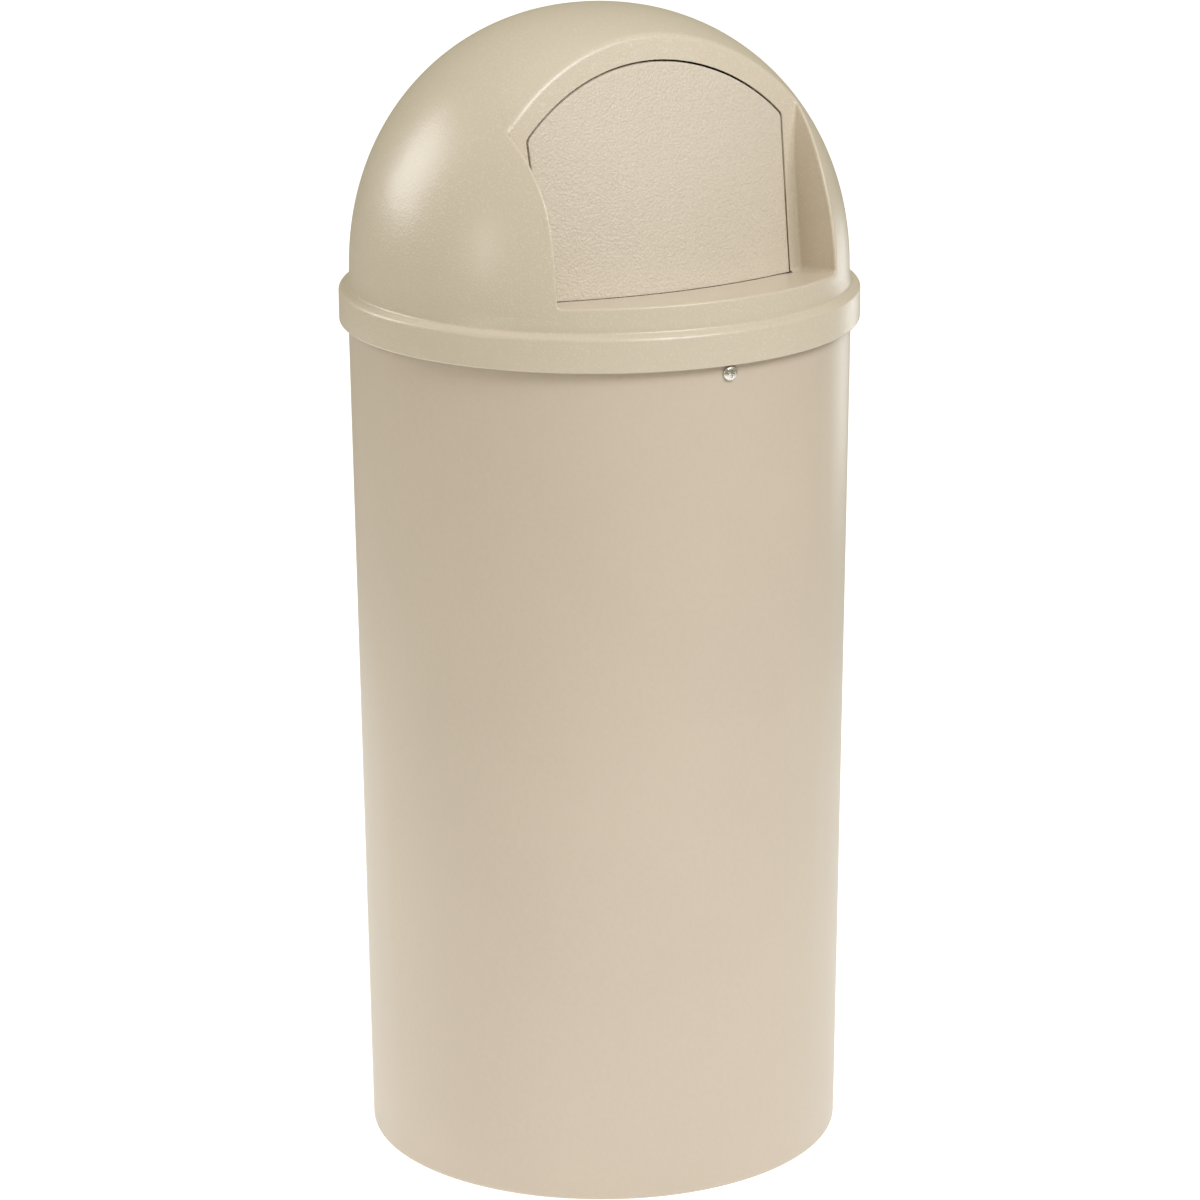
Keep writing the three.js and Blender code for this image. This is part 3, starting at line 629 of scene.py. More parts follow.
def turned_by(angle):
    """A matrix that turns row points about +Z."""
    return np.array([
        [math.cos(angle), math.sin(angle), 0],
        [-math.sin(angle), math.cos(angle), 0],
        [0, 0, 1],
    ])


def spread(count):
    """Shares from 0 to 1, closer together towards both ends."""
    share = np.linspace(0, 1, count + 1)
    return share - 0.5 * np.sin(2 * math.pi * share) / (2 * math.pi)


def run_along(line):
    """The length of a line up to each of its points."""
    return np.concatenate([[0], np.cumsum(np.linalg.norm(np.diff(line, axis=0), axis=1))])


def resampled(line, count):
    """Points along a line, spread by length."""
    line = np.asarray(line, float)
    run = run_along(line)
    wanted = spread(count) * run[-1]
    return np.stack([np.interp(wanted, run, line[:, k]) for k in range(line.shape[1])], axis=-1)


def around(*sides):
    """One closed ring from sides that share their end points."""
    return np.concatenate([side[:-1] for side in sides])


class Form:
    """Points in millimetres and faces, gathered patch by patch into one mesh."""

    def __init__(self):
        self.points = []
        self.faces = []

    def patch(self, rows, closed=True):
        """Four-sided faces over rows of points; closed joins each row's end to its start."""
        rows = np.asarray(rows, float)
        count, width = rows.shape[:2]
        start = len(self.points)
        self.points.extend(rows.reshape(-1, 3).tolist())
        for i in range(count - 1):
            for j in range(width if closed else width - 1):
                k = (j + 1) % width
                low = start + i * width
                high = low + width
                self.faces.append((low + j, low + k, high + k, high + j))
        return self

    def lid(self, ring):
        """One flat face over a ring."""
        start = len(self.points)
        self.points.extend(np.asarray(ring, float).tolist())
        self.faces.append(tuple(range(start, len(self.points))))
        return self

    def add(self, other, move=None):
        """Adds another form, moved by a function of its points."""
        points = np.array(other.points)
        start = len(self.points)
        self.points.extend((move(points) if move else points).tolist())
        self.faces.extend(tuple(start + i for i in face) for face in other.faces)
        return self


SHARP_ANGLE = math.radians(40)
BEVEL_PROFILE = 0.6


def softened(form, width, steps=2):
    """The form with its sharp edges rounded over."""
    shape = bmesh.new()
    corners = [shape.verts.new(point) for point in form.points]
    for face in form.faces:
        shape.faces.new([corners[i] for i in face])
    bmesh.ops.remove_doubles(shape, verts=shape.verts, dist=WELD)
    bmesh.ops.recalc_face_normals(shape, faces=shape.faces)
    sharp = [
        edge for edge in shape.edges
        if len(edge.link_faces) == 2 and edge.calc_face_angle() > SHARP_ANGLE
    ]
    bmesh.ops.bevel(
        shape, geom=sharp, offset=width, segments=steps, affect="EDGES", profile=BEVEL_PROFILE
    )
    shape.verts.index_update()
    made = Form()
    made.points = [list(vertex.co) for vertex in shape.verts]
    made.faces = [tuple(vertex.index for vertex in face.verts) for face in shape.faces]
    shape.free()
    return made


def block(low, high, round_over=0.5):
    """A box with rounded edges."""
    (x0, y0, z0), (x1, y1, z1) = low, high
    bottom = [(x0, y0, z0), (x1, y0, z0), (x1, y1, z0), (x0, y1, z0)]
    top = [(x, y, z1) for x, y, _ in bottom]
    form = Form().patch([bottom, top]).lid(bottom[::-1]).lid(top)
    return softened(form, round_over)


def plate(outline, thickness, hole_radius, round_over):
    """An outline in X and Y, raised along +Z, with a round hole about the origin."""
    outline = np.asarray(outline, float)
    angles = np.arctan2(outline[:, 1], outline[:, 0])
    hole = hole_radius * np.column_stack([np.cos(angles), np.sin(angles)])
    levels = ((hole, 0), (outline, 0), (outline, thickness), (hole, thickness))
    walls = [np.column_stack([ring, np.full(len(ring), z)]) for ring, z in levels]
    form = Form().patch([*walls, walls[0]])
    return softened(form, round_over)


def ring_form(inner, outer, start, end, round_over=0.6):
    """A bushing along +Z between start and end."""
    line = soft_line([
        ((inner + outer) / 2, start),
        (outer, start, round_over),
        (outer, end, round_over),
        (inner, end, round_over / 2),
        (inner, start, round_over / 2),
        ((inner + outer) / 2, start),
    ], steps=4)
    return Form().patch(turned(line, full_turn(SMALL_STEPS)))


def at_hinge(points):
    """From a form about +Z to one about the hinge's axis, which runs along +X."""
    return np.column_stack([points[:, 2], points[:, 0], points[:, 1]]) + [0, HINGE_Y, HINGE_Z]


def make_piece(name, form, body, nodes, slot, sharp=35):
    """Makes an object from a form, which rides on a body and stands for CAD nodes."""
    mesh = bpy.data.meshes.new(name)
    mesh.from_pydata((np.array(form.points) * MM).tolist(), [], form.faces)
    shape = bmesh.new()
    shape.from_mesh(mesh)
    bmesh.ops.remove_doubles(shape, verts=shape.verts, dist=WELD * MM)
    bmesh.ops.dissolve_degenerate(shape, edges=shape.edges, dist=WELD * MM)
    bmesh.ops.recalc_face_normals(shape, faces=shape.faces)
    open_edges = sum(len(edge.link_faces) != 2 for edge in shape.edges)
    shape.to_mesh(mesh)
    shape.free()
    if open_edges:
        raise ValueError(f"{name} has {open_edges} open edges")
    mesh.shade_smooth()
    mesh.set_sharp_from_angle(angle=math.radians(sharp))
    piece = bpy.data.objects.new(name, mesh)
    bpy.context.scene.collection.objects.link(piece)
    mesh.materials.append(finish_for(slot))
    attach(piece, body)
    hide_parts(*nodes)
    return piece


# ---- The container and its band ---------------------------------------------------------------


def container_radius(z):
    return BASE_RADIUS + (RIM_RADIUS - BASE_RADIUS) * z / RIM_HEIGHT


def band_inner_radius():
    return container_radius(BAND_LOW[2]) - BAND_THICKNESS


def container_form():
    """The tapered wall with its rim, band groove, floor and standing ring, turned as one line."""
    ring_inner = BASE_RADIUS - BASE_ROUND - STANDING_RING_WIDTH
    groove = band_inner_radius() - SEAT_GAP
    groove_low = BAND_LOW[2] - SEAT_GAP
    groove_high = BAND_HIGH[2] + SEAT_GAP
    line = soft_line([
        (0, FLOOR_UNDERSIDE),
        (ring_inner - FLOOR_UNDERSIDE / 2, FLOOR_UNDERSIDE, FLOOR_UNDERSIDE_ROUND),
        (ring_inner, 0, STANDING_RING_ROUND),
        (BASE_RADIUS, 0, BASE_ROUND),
        (container_radius(groove_low), groove_low, GROOVE_EDGE_ROUND),
        (groove, groove_low, GROOVE_FOOT_ROUND),
        (groove, groove_high, GROOVE_FOOT_ROUND),
        (container_radius(groove_high), groove_high, GROOVE_EDGE_ROUND),
        (RIM_RADIUS, RIM_HEIGHT, CONTAINER_RIM_ROUND),
        (RIM_RADIUS - CONTAINER_WALL, RIM_HEIGHT, CONTAINER_RIM_ROUND),
        (container_radius(FLOOR_TOP) - CONTAINER_WALL, FLOOR_TOP, FLOOR_FILLET),
        (0, FLOOR_TOP),
    ])
    return Form().patch(turned(line, full_turn(TURNED_STEPS)))


def band_form():
    """A flat elastic band with a softly crowned outside."""
    inner = band_inner_radius()
    low, high = BAND_LOW[2], BAND_HIGH[2]
    outer = BAND_HIGH[0]
    line = soft_line([
        (inner, (low + high) / 2),
        (inner, low, BAND_INNER_ROUND),
        (outer - BAND_CROWN, low, BAND_OUTER_ROUND),
        (outer, (low + high) / 2, BAND_CROWN_ROUND),
        (outer - BAND_CROWN, high, BAND_OUTER_ROUND),
        (inner, high, BAND_INNER_ROUND),
        (inner, (low + high) / 2),
    ])
    return Form().patch(turned(line, full_turn(TURNED_STEPS)))


# ---- The dome's outside as a rounded cut of two fields ----------------------------------------


def rounded_max(first, second, radius):
    """The larger of two distances, with their crossing rounded by an arc."""
    corner = np.hypot(np.maximum(first + radius, 0), np.maximum(second + radius, 0))
    return np.minimum(np.maximum(first, second), -radius) + corner


def face_bulge(z):
    """The door face's sideways bulge at a height: depth for each square of the distance aside."""
    return FACE_BULGE - FACE_FLATTENING * (z - FACE_REFERENCE)


def face_forward(x, z):
    """Distance of the door face in front of the axis."""
    return FACE_REACH - FACE_LEAN * (z - FACE_REFERENCE) - x * x * face_bulge(z)


def cheek_half(z):
    """Half the recess's width on the door face; it flares towards the upper corners."""
    flare = CHEEK_FLARE * np.maximum(z - CHEEK_FLARE_START, 0) ** 2
    return CHEEK_HALF + CHEEK_SPREAD * (z - FACE_REFERENCE) + flare


def cheek_slope(z):
    """How far a cheek leans outwards for each millimetre in front of the door face."""
    return np.maximum(CHEEK_SLOPE - CHEEK_TWIST * (z - FACE_REFERENCE), CHEEK_LEAST_SLOPE)


def sill_level(x, forward):
    return SILL_BACK + SILL_SLOPE * (forward - face_forward(x, SILL_BACK))


def foot_radius(z):
    """The near-upright wall between the shoulder and the springing of the dome's curve."""
    share = (SPRINGING_HEIGHT - z) / (SPRINGING_HEIGHT - SHOULDER_HEIGHT)
    return SPRINGING_RADIUS + (SHOULDER_RADIUS - SPRINGING_RADIUS) * np.maximum(share, 0)


def dome_radius(z):
    rise = np.clip((z - SPRINGING_HEIGHT) / (DOME_TOP - SPRINGING_HEIGHT), 0, 1)
    return foot_radius(z) * (1 - rise ** DOME_POWER) ** (1 / DOME_POWER)


def dome_field(points):
    """About the distance outside the uncut dome."""
    x, y, z = np.moveaxis(points, -1, 0)
    rise = np.maximum(z - SPRINGING_HEIGHT, 0) / (DOME_TOP - SPRINGING_HEIGHT)
    reach = np.hypot(x, y) / foot_radius(z)
    return ((reach ** DOME_POWER + rise ** DOME_POWER) ** (1 / DOME_POWER) - 1) * SPRINGING_RADIUS


def recess_field(points, sizes):
    """About the distance outside the space in front of the door face, its edges rounded."""
    x, y, z = np.moveaxis(points, -1, 0)
    ahead = -y - face_forward(x, z)
    tilt = 2 * x * face_bulge(z)
    face = -ahead / np.sqrt(1 + FACE_LEAN ** 2 + tilt ** 2)
    cheek = np.abs(x) - cheek_half(z) - ahead * cheek_slope(z)
    sill = sill_level(x, -y) - z
    walls = rounded_max(face, cheek, sizes["corner_fillet"])
    near_cheek = np.clip((np.abs(x) - CHEEK_HALF + CHEEK_FOOT_START) / CHEEK_FOOT_BLEND, 0, 1)
    foot = sizes["sill_fillet"] + (sizes["cheek_foot"] - sizes["sill_fillet"]) * near_cheek
    return rounded_max(walls, sill, foot)


def shell_field(points, sizes):
    """Negative inside the dome taken as a solid block with the recess cut out of it."""
    above_sill = np.clip((points[..., 2] - EDGE_BLEND_START) / EDGE_BLEND_HEIGHT, 0, 1)
    edge = sizes["rim_round"] + (sizes["cheek_round"] - sizes["rim_round"]) * above_sill
    return rounded_max(dome_field(points), -recess_field(points, sizes), edge)


def outward(points, sizes, step=0.05):
    """The unit direction out of the shell's surface."""
    change = []
    for axis in np.eye(3) * step:
        change.append(shell_field(points + axis, sizes) - shell_field(points - axis, sizes))
    normal = np.stack(change, axis=-1)
    return normal / np.linalg.norm(normal, axis=-1, keepdims=True)


def settle(change, search, shape=(), passes=44):
    """Where a function that falls through zero within the search crosses it, by halving."""
    low = np.full(shape, float(search[0]))
    high = np.full(shape, float(search[1]))
    for _ in range(passes):
        middle = (low + high) / 2
        outside = change(middle) > 0
        low = np.where(outside, middle, low)
        high = np.where(outside, high, middle)
    return (low + high) / 2


def pressed(points, aside, sizes, before=40, after=70):
    """Points moved onto the shell from in front and above, and outwards where they meet a cheek."""
    x = points[..., 0]
    share = np.clip((np.abs(x) - PRESS_ASIDE_START) / PRESS_ASIDE_BLEND, 0, 1)
    outwards = np.sign(x) * PRESS_ASIDE * eased(share) * aside[:, None]
    level = np.full(x.shape, math.cos(PRESS_DOWN))
    down = np.full(x.shape, -math.sin(PRESS_DOWN))
    press = np.stack([outwards, level, down], axis=-1)
    press /= np.linalg.norm(press, axis=-1, keepdims=True)
    start = points - press * before

    def moved(travel):
        return start + press * travel[..., None]

    return moved(settle(lambda travel: shell_field(moved(travel), sizes), (0, before + after), x.shape))


# ---- The doorway's outline --------------------------------------------------------------------


def arch_sides(grown, bottom):
    """The door outline's bottom, right, arch and left in X and Z, grown from the gap's middle."""

    def side(z):
        return DOOR_HALF + grown + DOOR_SPREAD * (z - FACE_REFERENCE)

    radius = ARCH_RADIUS + grown
    centre = ARCH_TOP - ARCH_RADIUS
    corner = centre
    for _ in range(PASSES):
        corner = centre + math.sqrt(radius ** 2 - side(corner) ** 2)
    turn = math.asin(side(corner) / radius) - ARCH_CORNER / radius
    start = np.array([side(corner - ARCH_CORNER), corner - ARCH_CORNER])
    knee = np.array([side(corner), corner])
    end = np.array([radius * math.sin(turn), centre + radius * math.cos(turn)])
    share = np.linspace(0, 1, ARCH_CORNER_STEPS + 1)[:, None]
    bend = start * (1 - share) ** 2 + knee * 2 * share * (1 - share) + end * share ** 2
    half = ARCH_CORNER_STEPS // 2
    right = np.vstack([[side(bottom), bottom], bend[:half + 1]])
    angles = np.linspace(turn, -turn, ARCH_STEPS + 1)[1:-1]
    arc = np.column_stack([radius * np.sin(angles), centre + radius * np.cos(angles)])
    flip = np.array([-1, 1])
    arch = np.vstack([bend[half:], arc, (bend[half:] * flip)[::-1]])
    low = np.array([[-side(bottom), bottom], [side(bottom), bottom]])
    return low, right, arch, (right * flip)[::-1]


def arch_ring(grown, bottom):
    """Stations of the door outline, as X and Z."""
    counts = (STATIONS_ACROSS, STATIONS_UP, STATIONS_ACROSS, STATIONS_UP)
    return around(*[resampled(side, count) for side, count in zip(arch_sides(grown, bottom), counts)])


def on_face(ring, depth=0.0):
    """A ring in X and Z laid on the door face, or so far behind it."""
    x, z = ring[:, 0], ring[:, 1]
    return np.column_stack([x, -(face_forward(x, z) - depth), z])


# ---- The recess's corner lines ----------------------------------------------------------------


def mirrored(side):
    """A line of places flipped to the other side and run the other way."""
    flip = np.ones(side.shape[-1])
    flip[0] = -1
    return (side * flip)[::-1]


def crease(z):
    """The corner of the door face and the right cheek, at given heights."""
    half = cheek_half(z)
    return np.stack([half, -face_forward(half, z), z], axis=-1)


def cheek_turn(z):
    """The angle at which the right cheek comes out through the dome, at given heights."""
    radius = dome_radius(z)
    half = cheek_half(z)

    def inside(turn):
        ahead = radius * np.cos(turn) - face_forward(half, z)
        return half + ahead * cheek_slope(z) - radius * np.sin(turn)

    return settle(inside, CHEEK_TURN_SEARCH, np.shape(z))


def sill_at(turn, z):
    """The sill's level at the dome's outside, at an angle and a height."""
    radius = dome_radius(z)
    return sill_level(radius * np.sin(turn), radius * np.cos(turn))


class RecessCurves:
    """The recess's corner lines before rounding, station by station.

    The inner one runs round the door face, as points. The outer one runs where the recess comes
    out through the dome, as angles and heights.
    """

    def __init__(self):
        self.up = spread(STATIONS_UP)
        self.across = 2 * spread(STATIONS_ACROSS) - 1
        self.crease_end = float(settle(lambda z: -dome_field(crease(z)), CREASE_SEARCH))
        arch = self.arch()
        self.inner = self.inner_line(arch)
        self.outer = self.outer_line(arch)

    def arch(self):
        """Where the door face comes out through the dome, from the right crease to the left."""
        x = -self.across * crease(self.crease_end)[0]

        def crest(z):
            return np.stack([x, -face_forward(x, z), z], axis=-1)

        return crest(settle(lambda z: -dome_field(crest(z)), CREST_SEARCH, x.shape))

    def inner_line(self, arch):
        x = self.across * float(cheek_half(SILL_BACK))
        forward = face_forward(x, SILL_BACK) + SILL_TOE
        bottom = np.column_stack([x, -forward, sill_level(x, forward)])
        right = crease(SILL_BACK + (self.crease_end - SILL_BACK) * self.up)
        right[:, 1] -= SILL_TOE * np.maximum(1 - self.up / SILL_TOE_SHARE, 0)
        right[:, 2] += (bottom[-1, 2] - SILL_BACK) * (1 - self.up)
        return around(bottom, right, arch, mirrored(right))

    def outer_line(self, arch):
        corner = np.array(SILL_BACK)
        for _ in range(PASSES):
            corner = sill_at(cheek_turn(corner), corner)
        turns = self.across * float(cheek_turn(corner))
        rim = np.full(len(turns), SILL_BACK)
        for _ in range(PASSES):
            rim = sill_at(turns, rim)
        height = corner + (self.crease_end - corner) * self.up
        right = np.column_stack([cheek_turn(height), height])
        crest = np.column_stack([np.arctan2(arch[:, 0], -arch[:, 1]), arch[:, 2]])
        return around(np.column_stack([turns, rim]), right, crest, mirrored(right))


# ---- The dome's mesh --------------------------------------------------------------------------


def polar(angles, heights):
    """Points on the uncut dome at angles from the front and heights."""
    radius = dome_radius(heights)
    return np.stack([radius * np.sin(angles), -radius * np.cos(angles), heights], axis=-1)


def patch_rows():
    """Heights from the front patch's bottom to its top, evenly spaced along the dome's curve."""
    heights = PATCH_BOTTOM + (PATCH_TOP - PATCH_BOTTOM) * np.linspace(0, 1, CURVE_STEPS)
    run = run_along(np.column_stack([dome_radius(heights), heights]))
    return np.interp(np.linspace(0, run[-1], STATIONS_UP + 1), run, heights)


def side_turns():
    return np.linspace(PATCH_TURN_LOW, PATCH_TURN_HIGH, STATIONS_UP + 1)


def row_angles(turn):
    """The angles of a whole turn: the front patch's columns, then the back's."""
    front = turn * (2 * spread(STATIONS_ACROSS) - 1)
    back = np.linspace(turn, 2 * math.pi - turn, BACK_COLUMNS + 1)[1:-1]
    return np.concatenate([front, back])


def patch_border():
    """The front patch's outer border as angle and height, station by station."""
    heights = patch_rows()
    turns = side_turns()
    across = 2 * spread(STATIONS_ACROSS) - 1
    bottom = np.column_stack([across * turns[0], np.full(len(across), heights[0])])
    right = np.column_stack([turns, heights])
    top = np.column_stack([-across * turns[-1], np.full(len(across), heights[-1])])
    return around(bottom, right, top, mirrored(right))


def toward(start, end, reach, limit):
    """Places moved a set distance towards their end places, but no more than a share of the way."""
    gap = end - start
    length = np.maximum(np.linalg.norm(gap, axis=1, keepdims=True), NUDGE)
    return start + gap * np.minimum(reach / length, limit)


def corner_margin(near, far):
    """A distance for each station: far round the arch, near elsewhere, with a smooth change."""
    up = np.clip((spread(STATIONS_UP) - MARGIN_START) / (1 - MARGIN_START), 0, 1) ** 2
    right = near + (far - near) * up
    bottom = np.full(STATIONS_ACROSS + 1, float(near))
    arch = np.full(STATIONS_ACROSS + 1, float(far))
    return around(*[side[:, None] for side in (bottom, right, arch, right[::-1])])


def doorway_edge(sizes):
    """The ring where the face meets the rounded edge of the doorway."""
    outline = arch_ring(sizes["door_gap"] / 2 + LIP_ROUND, LIP_HEIGHT - LIP_ROUND)
    x, z = outline[:, 0], outline[:, 1]

    def behind(depth):
        return np.column_stack([x, depth - face_forward(x, z), z])

    return behind(settle(lambda depth: shell_field(behind(depth), sizes), LIP_SEARCH, x.shape))


def front_rings(sizes):
    """The outside of the dome's front, ring by ring from the doorway's edge to the patch's border."""
    inmost = doorway_edge(sizes)
    curves = RecessCurves()
    border = patch_border()
    inner = toward(curves.inner, inmost, corner_margin(*INNER_MARGINS), INNER_MARGIN_LIMIT)
    gap = np.linalg.norm(polar(*border.T) - polar(*curves.outer.T), axis=1, keepdims=True)
    share = np.minimum(corner_margin(*OUTER_MARGINS) / gap, OUTER_MARGIN_LIMIT)
    outer = curves.outer + (border - curves.outer) * share
    rings = [inmost]
    aside = [0]
    for share in np.linspace(0, 1, FRAME_RINGS + 1)[1:]:
        rings.append(inmost + (inner - inmost) * share)
        aside.append(share)
    for share in (1 - np.cos(np.linspace(0, math.pi, CHEEK_RINGS + 1)[1:])) / 2:
        rings.append(inner + (polar(*outer.T) - inner) * share)
        aside.append(1)
    for share in np.linspace(0, 1, OUTER_RINGS + 1)[1:] ** OUTER_CROWDING:
        rings.append(polar(*(outer + (border - outer) * share).T))
        aside.append((1 - share) ** 2)
    rings = np.array(rings)
    rings[1:-1] = pressed(rings[1:-1], np.array(aside[1:-1]), sizes)
    return rings


def inner_front_rings(rings, sizes):
    """The same rings on the wall's inside; near the doorway they run straight back instead."""
    wall = sizes["dome_wall"]
    inside = rings - outward(rings, sizes) * wall
    low = np.clip((LIP_HEIGHT + LIP_SLOPE_HEIGHT - rings[0][:, 2]) / LIP_SLOPE_HEIGHT, 0, 1)
    backwards = wall + LIP_BACK + LIP_SLOPE_RUN * low
    back = rings[0] + np.column_stack([0 * low, backwards, -LIP_SLOPE_DROP * low])
    for i in range(LIP_RINGS):
        share = eased(i / LIP_RINGS)
        inside[i] = (back + (rings[i] - rings[0])) * (1 - share) + inside[i] * share
    return inside


def dome_crown(angles):
    """Rings over the crown, from the front patch's top to the middle."""
    radii = dome_radius(PATCH_TOP) * np.linspace(1, 0, CROWN_RINGS + 1)
    rise = (1 - (radii / SPRINGING_RADIUS) ** DOME_POWER) ** (1 / DOME_POWER)
    heights = SPRINGING_HEIGHT + rise * (DOME_TOP - SPRINGING_HEIGHT)
    return turned(np.column_stack([radii, heights]), angles)


def dome_skirt(foot, angles, wall):
    """The shoulder, the skirt and the seat, from the outside round to a foot on the inside."""
    seat = RIM_HEIGHT + SEAT_GAP
    line = soft_line([
        (float(dome_radius(PATCH_BOTTOM)), PATCH_BOTTOM),
        (SHOULDER_RADIUS, SHOULDER_HEIGHT, SHOULDER_ROUND),
        (SKIRT_RADIUS, SKIRT_TOP, SKIRT_TOP_ROUND),
        (SKIRT_RADIUS, SKIRT_BOTTOM, SKIRT_EDGE_ROUND),
        (SKIRT_RADIUS - wall, SKIRT_BOTTOM, SKIRT_INNER_ROUND),
        (SKIRT_RADIUS - wall, seat, SKIRT_INNER_ROUND),
        (SHOULDER_RADIUS - wall, seat, SKIRT_INNER_ROUND),
        foot,
    ], steps=8)
    return turned(line, angles)


def back_of(rows):
    """The part of whole rows that the front patch leaves out."""
    return np.concatenate([rows[:, STATIONS_ACROSS:], rows[:, :1]], axis=1)


def dome_form(sizes):
    """The moulded dome, as one closed skin of a constant wall."""
    form = Form()
    wall = sizes["dome_wall"]
    outside = front_rings(sizes)
    inside = inner_front_rings(outside, sizes)
    outline = arch_ring(sizes["door_gap"] / 2, LIP_HEIGHT)
    edge = np.column_stack([outline[:, 0], outside[0][:, 1] + LIP_ROUND, outline[:, 1]])
    rows = np.array([polar(row_angles(turn), np.full(STATIONS_ACROSS + BACK_COLUMNS, height))
                     for turn, height in zip(side_turns(), patch_rows())])
    inner_rows = rows - outward(rows, sizes) * wall
    crown = dome_crown(row_angles(PATCH_TURN_HIGH))
    crown[0] = rows[-1]
    inner_crown = crown - outward(crown + [NUDGE, 0, 0], sizes) * wall
    inner_crown[0] = inner_rows[-1]
    inner_crown[-1] = inner_crown[-1].mean(axis=0)
    foot = inner_rows[0][0]
    skirt = dome_skirt((math.hypot(foot[0], foot[1]), foot[2]), row_angles(PATCH_TURN_LOW), wall)
    skirt[0] = rows[0]
    skirt[-1] = inner_rows[0]
    form.patch(outside)
    form.patch(inside)
    form.patch([outside[0], edge, inside[0]])
    form.patch(back_of(rows), closed=False)
    form.patch(back_of(inner_rows), closed=False)
    form.patch(crown)
    form.patch(inner_crown)
    form.patch(skirt)
    return form


# ---- What is moulded inside the dome ----------------------------------------------------------


def span(side, start, length):
    """The low and high X of a length that starts so far to one side of the middle."""
    low = min(side * start, side * (start + length))
    return low, low + length


def rod_bosses(sizes):
    """The bored bosses that the hinge rod's ends sit in, with their feet on the dome's wall."""
    form = Form()
    for side in (-1, 1):
        low, high = span(side, BOSS_START, BOSS_LENGTH)
        form.add(ring_form(ROD_RADIUS + BORE_GAP, BOSS_RADIUS, low, high), at_hinge)
        wall_middle = face_forward(BOSS_START + BOSS_LENGTH, HINGE_Z) - sizes["dome_wall"] / 2
        form.add(block(
            (low, -wall_middle, HINGE_Z - BOSS_RADIUS),
            (high, HINGE_Y - ROD_RADIUS - ROD_CLEARANCE, HINGE_Z + BOSS_RADIUS),
        ))
    return form


def guide_ribs(sizes):
    """Upright ribs inside the skirt that centre the dome on the container's rim."""
    form = Form()
    rib = block(
        (RIM_RADIUS + SEAT_GAP, -RIB_WIDTH / 2, SKIRT_BOTTOM + RIB_LIFT),
        (SKIRT_RADIUS - sizes["dome_wall"] / 2, RIB_WIDTH / 2, RIM_HEIGHT + SEAT_GAP + RIB_OVERLAP),
    )
    for i in range(RIB_COUNT):
        turn = (i + 0.5) / RIB_COUNT * 2 * math.pi
        form.add(rib, lambda points, turn=turn: points @ turned_by(turn))
    return form


def keeper_pads():
    """The pads that the keepers are screwed to, one at the front and one at the rear."""
    form = Form()
    bottom = RIM_HEIGHT + SEAT_GAP + PAD_LIFT
    for word, sign in LATCH_SIGNS.items():
        low, high = box_mm(f"latch_keeper_{word}")
        screw_far = reach_of(f"keeper_screw_{word}_1", sign)[3]
        middle = (low[0] + high[0]) / 2
        half = (high[0] - low[0]) / 2 + PAD_MARGIN
        near, far = sorted((sign * (screw_far - PAD_SCREW_DEPTH), sign * (SPRINGING_RADIUS - PAD_SINK)))
        top = high[2] + PAD_MARGIN
        form.add(block((middle - half, near, bottom), (middle + half, far, top), PAD_ROUND))
    return form


# ---- The push door ----------------------------------------------------------------------------


def face_slab(x_range, z_range, depths, steps, round_over=0.35):
    """A slab between two depths behind the door face, over a range of X and of Z."""
    x = np.linspace(*x_range, steps[0] + 1)
    z = np.linspace(*z_range, steps[1] + 1)
    loop = [(value, depths[0]) for value in x] + [(value, depths[1]) for value in x[::-1]]
    rows = [[(a, -(face_forward(a, height) - depth), height) for a, depth in loop] for height in z]
    form = Form().patch(rows)
    for row in (rows[0], rows[-1]):
        front, back = row[:len(x)], row[len(x):][::-1]
        form.patch([front, back], closed=False)
    return softened(form, round_over)


def door_panel(half_gap):
    """The door's skin: its front, its edge with a rim, and its back, as rings from the middle."""
    innermost = arch_ring(-half_gap - DOOR_INNERMOST_INSET, DOOR_BOTTOM + DOOR_INNERMOST_INSET)
    middle = np.array([0, DOOR_MIDDLE])

    def ring(inset, depth):
        return on_face(arch_ring(-half_gap - inset, DOOR_BOTTOM + inset), depth)

    def shrunk(share, depth):
        return on_face(middle + (innermost - middle) * share, depth)

    edge = soft_line([
        (DOOR_EDGE_INSET, 0),
        (0, 0, DOOR_FRONT_ROUND),
        (0, DOOR_RIM_DEPTH, DOOR_RIM_ROUND),
        (DOOR_RIM_WIDTH, DOOR_RIM_DEPTH, DOOR_RIM_ROUND),
        (DOOR_RIM_WIDTH, DOOR_WALL, DOOR_WALL_FILLET),
        (DOOR_FLOOR_INSET, DOOR_WALL),
    ], steps=4)
    rows = [shrunk(share, 0) for share in DOOR_MIDDLE_SHARES]
    rows += [ring(inset, 0) for inset in DOOR_FRONT_INSETS]
    rows += [ring(inset, depth) for inset, depth in edge]
    rows += [ring(inset, DOOR_WALL) for inset in DOOR_BACK_INSETS]
    rows += [shrunk(share, DOOR_WALL) for share in DOOR_MIDDLE_SHARES[::-1]]
    return Form().patch(rows)


def door_ribs(half_gap):
    """Level and upright ribs on the door's back."""
    form = Form()
    inner = DOOR_HALF - half_gap - DOOR_RIM_WIDTH + DOOR_RIB_SINK
    low = DOOR_BOTTOM + DOOR_RIM_WIDTH - DOOR_RIB_SINK
    high = HINGE_Z - 2 * KNUCKLE_RADIUS
    thin = DOOR_RIB_WIDTH / 2
    depths = (DOOR_WALL - DOOR_RIB_SINK, DOOR_RIM_DEPTH)
    for z in DOOR_RIB_ROWS:
        form.add(face_slab((-inner, inner), (z - thin, z + thin), depths, (DOOR_RIB_STEPS, 1)))
    for x in DOOR_RIB_COLUMNS:
        form.add(face_slab((x - thin, x + thin), (low, high), depths, (1, DOOR_RIB_RISE_STEPS)))
    return form


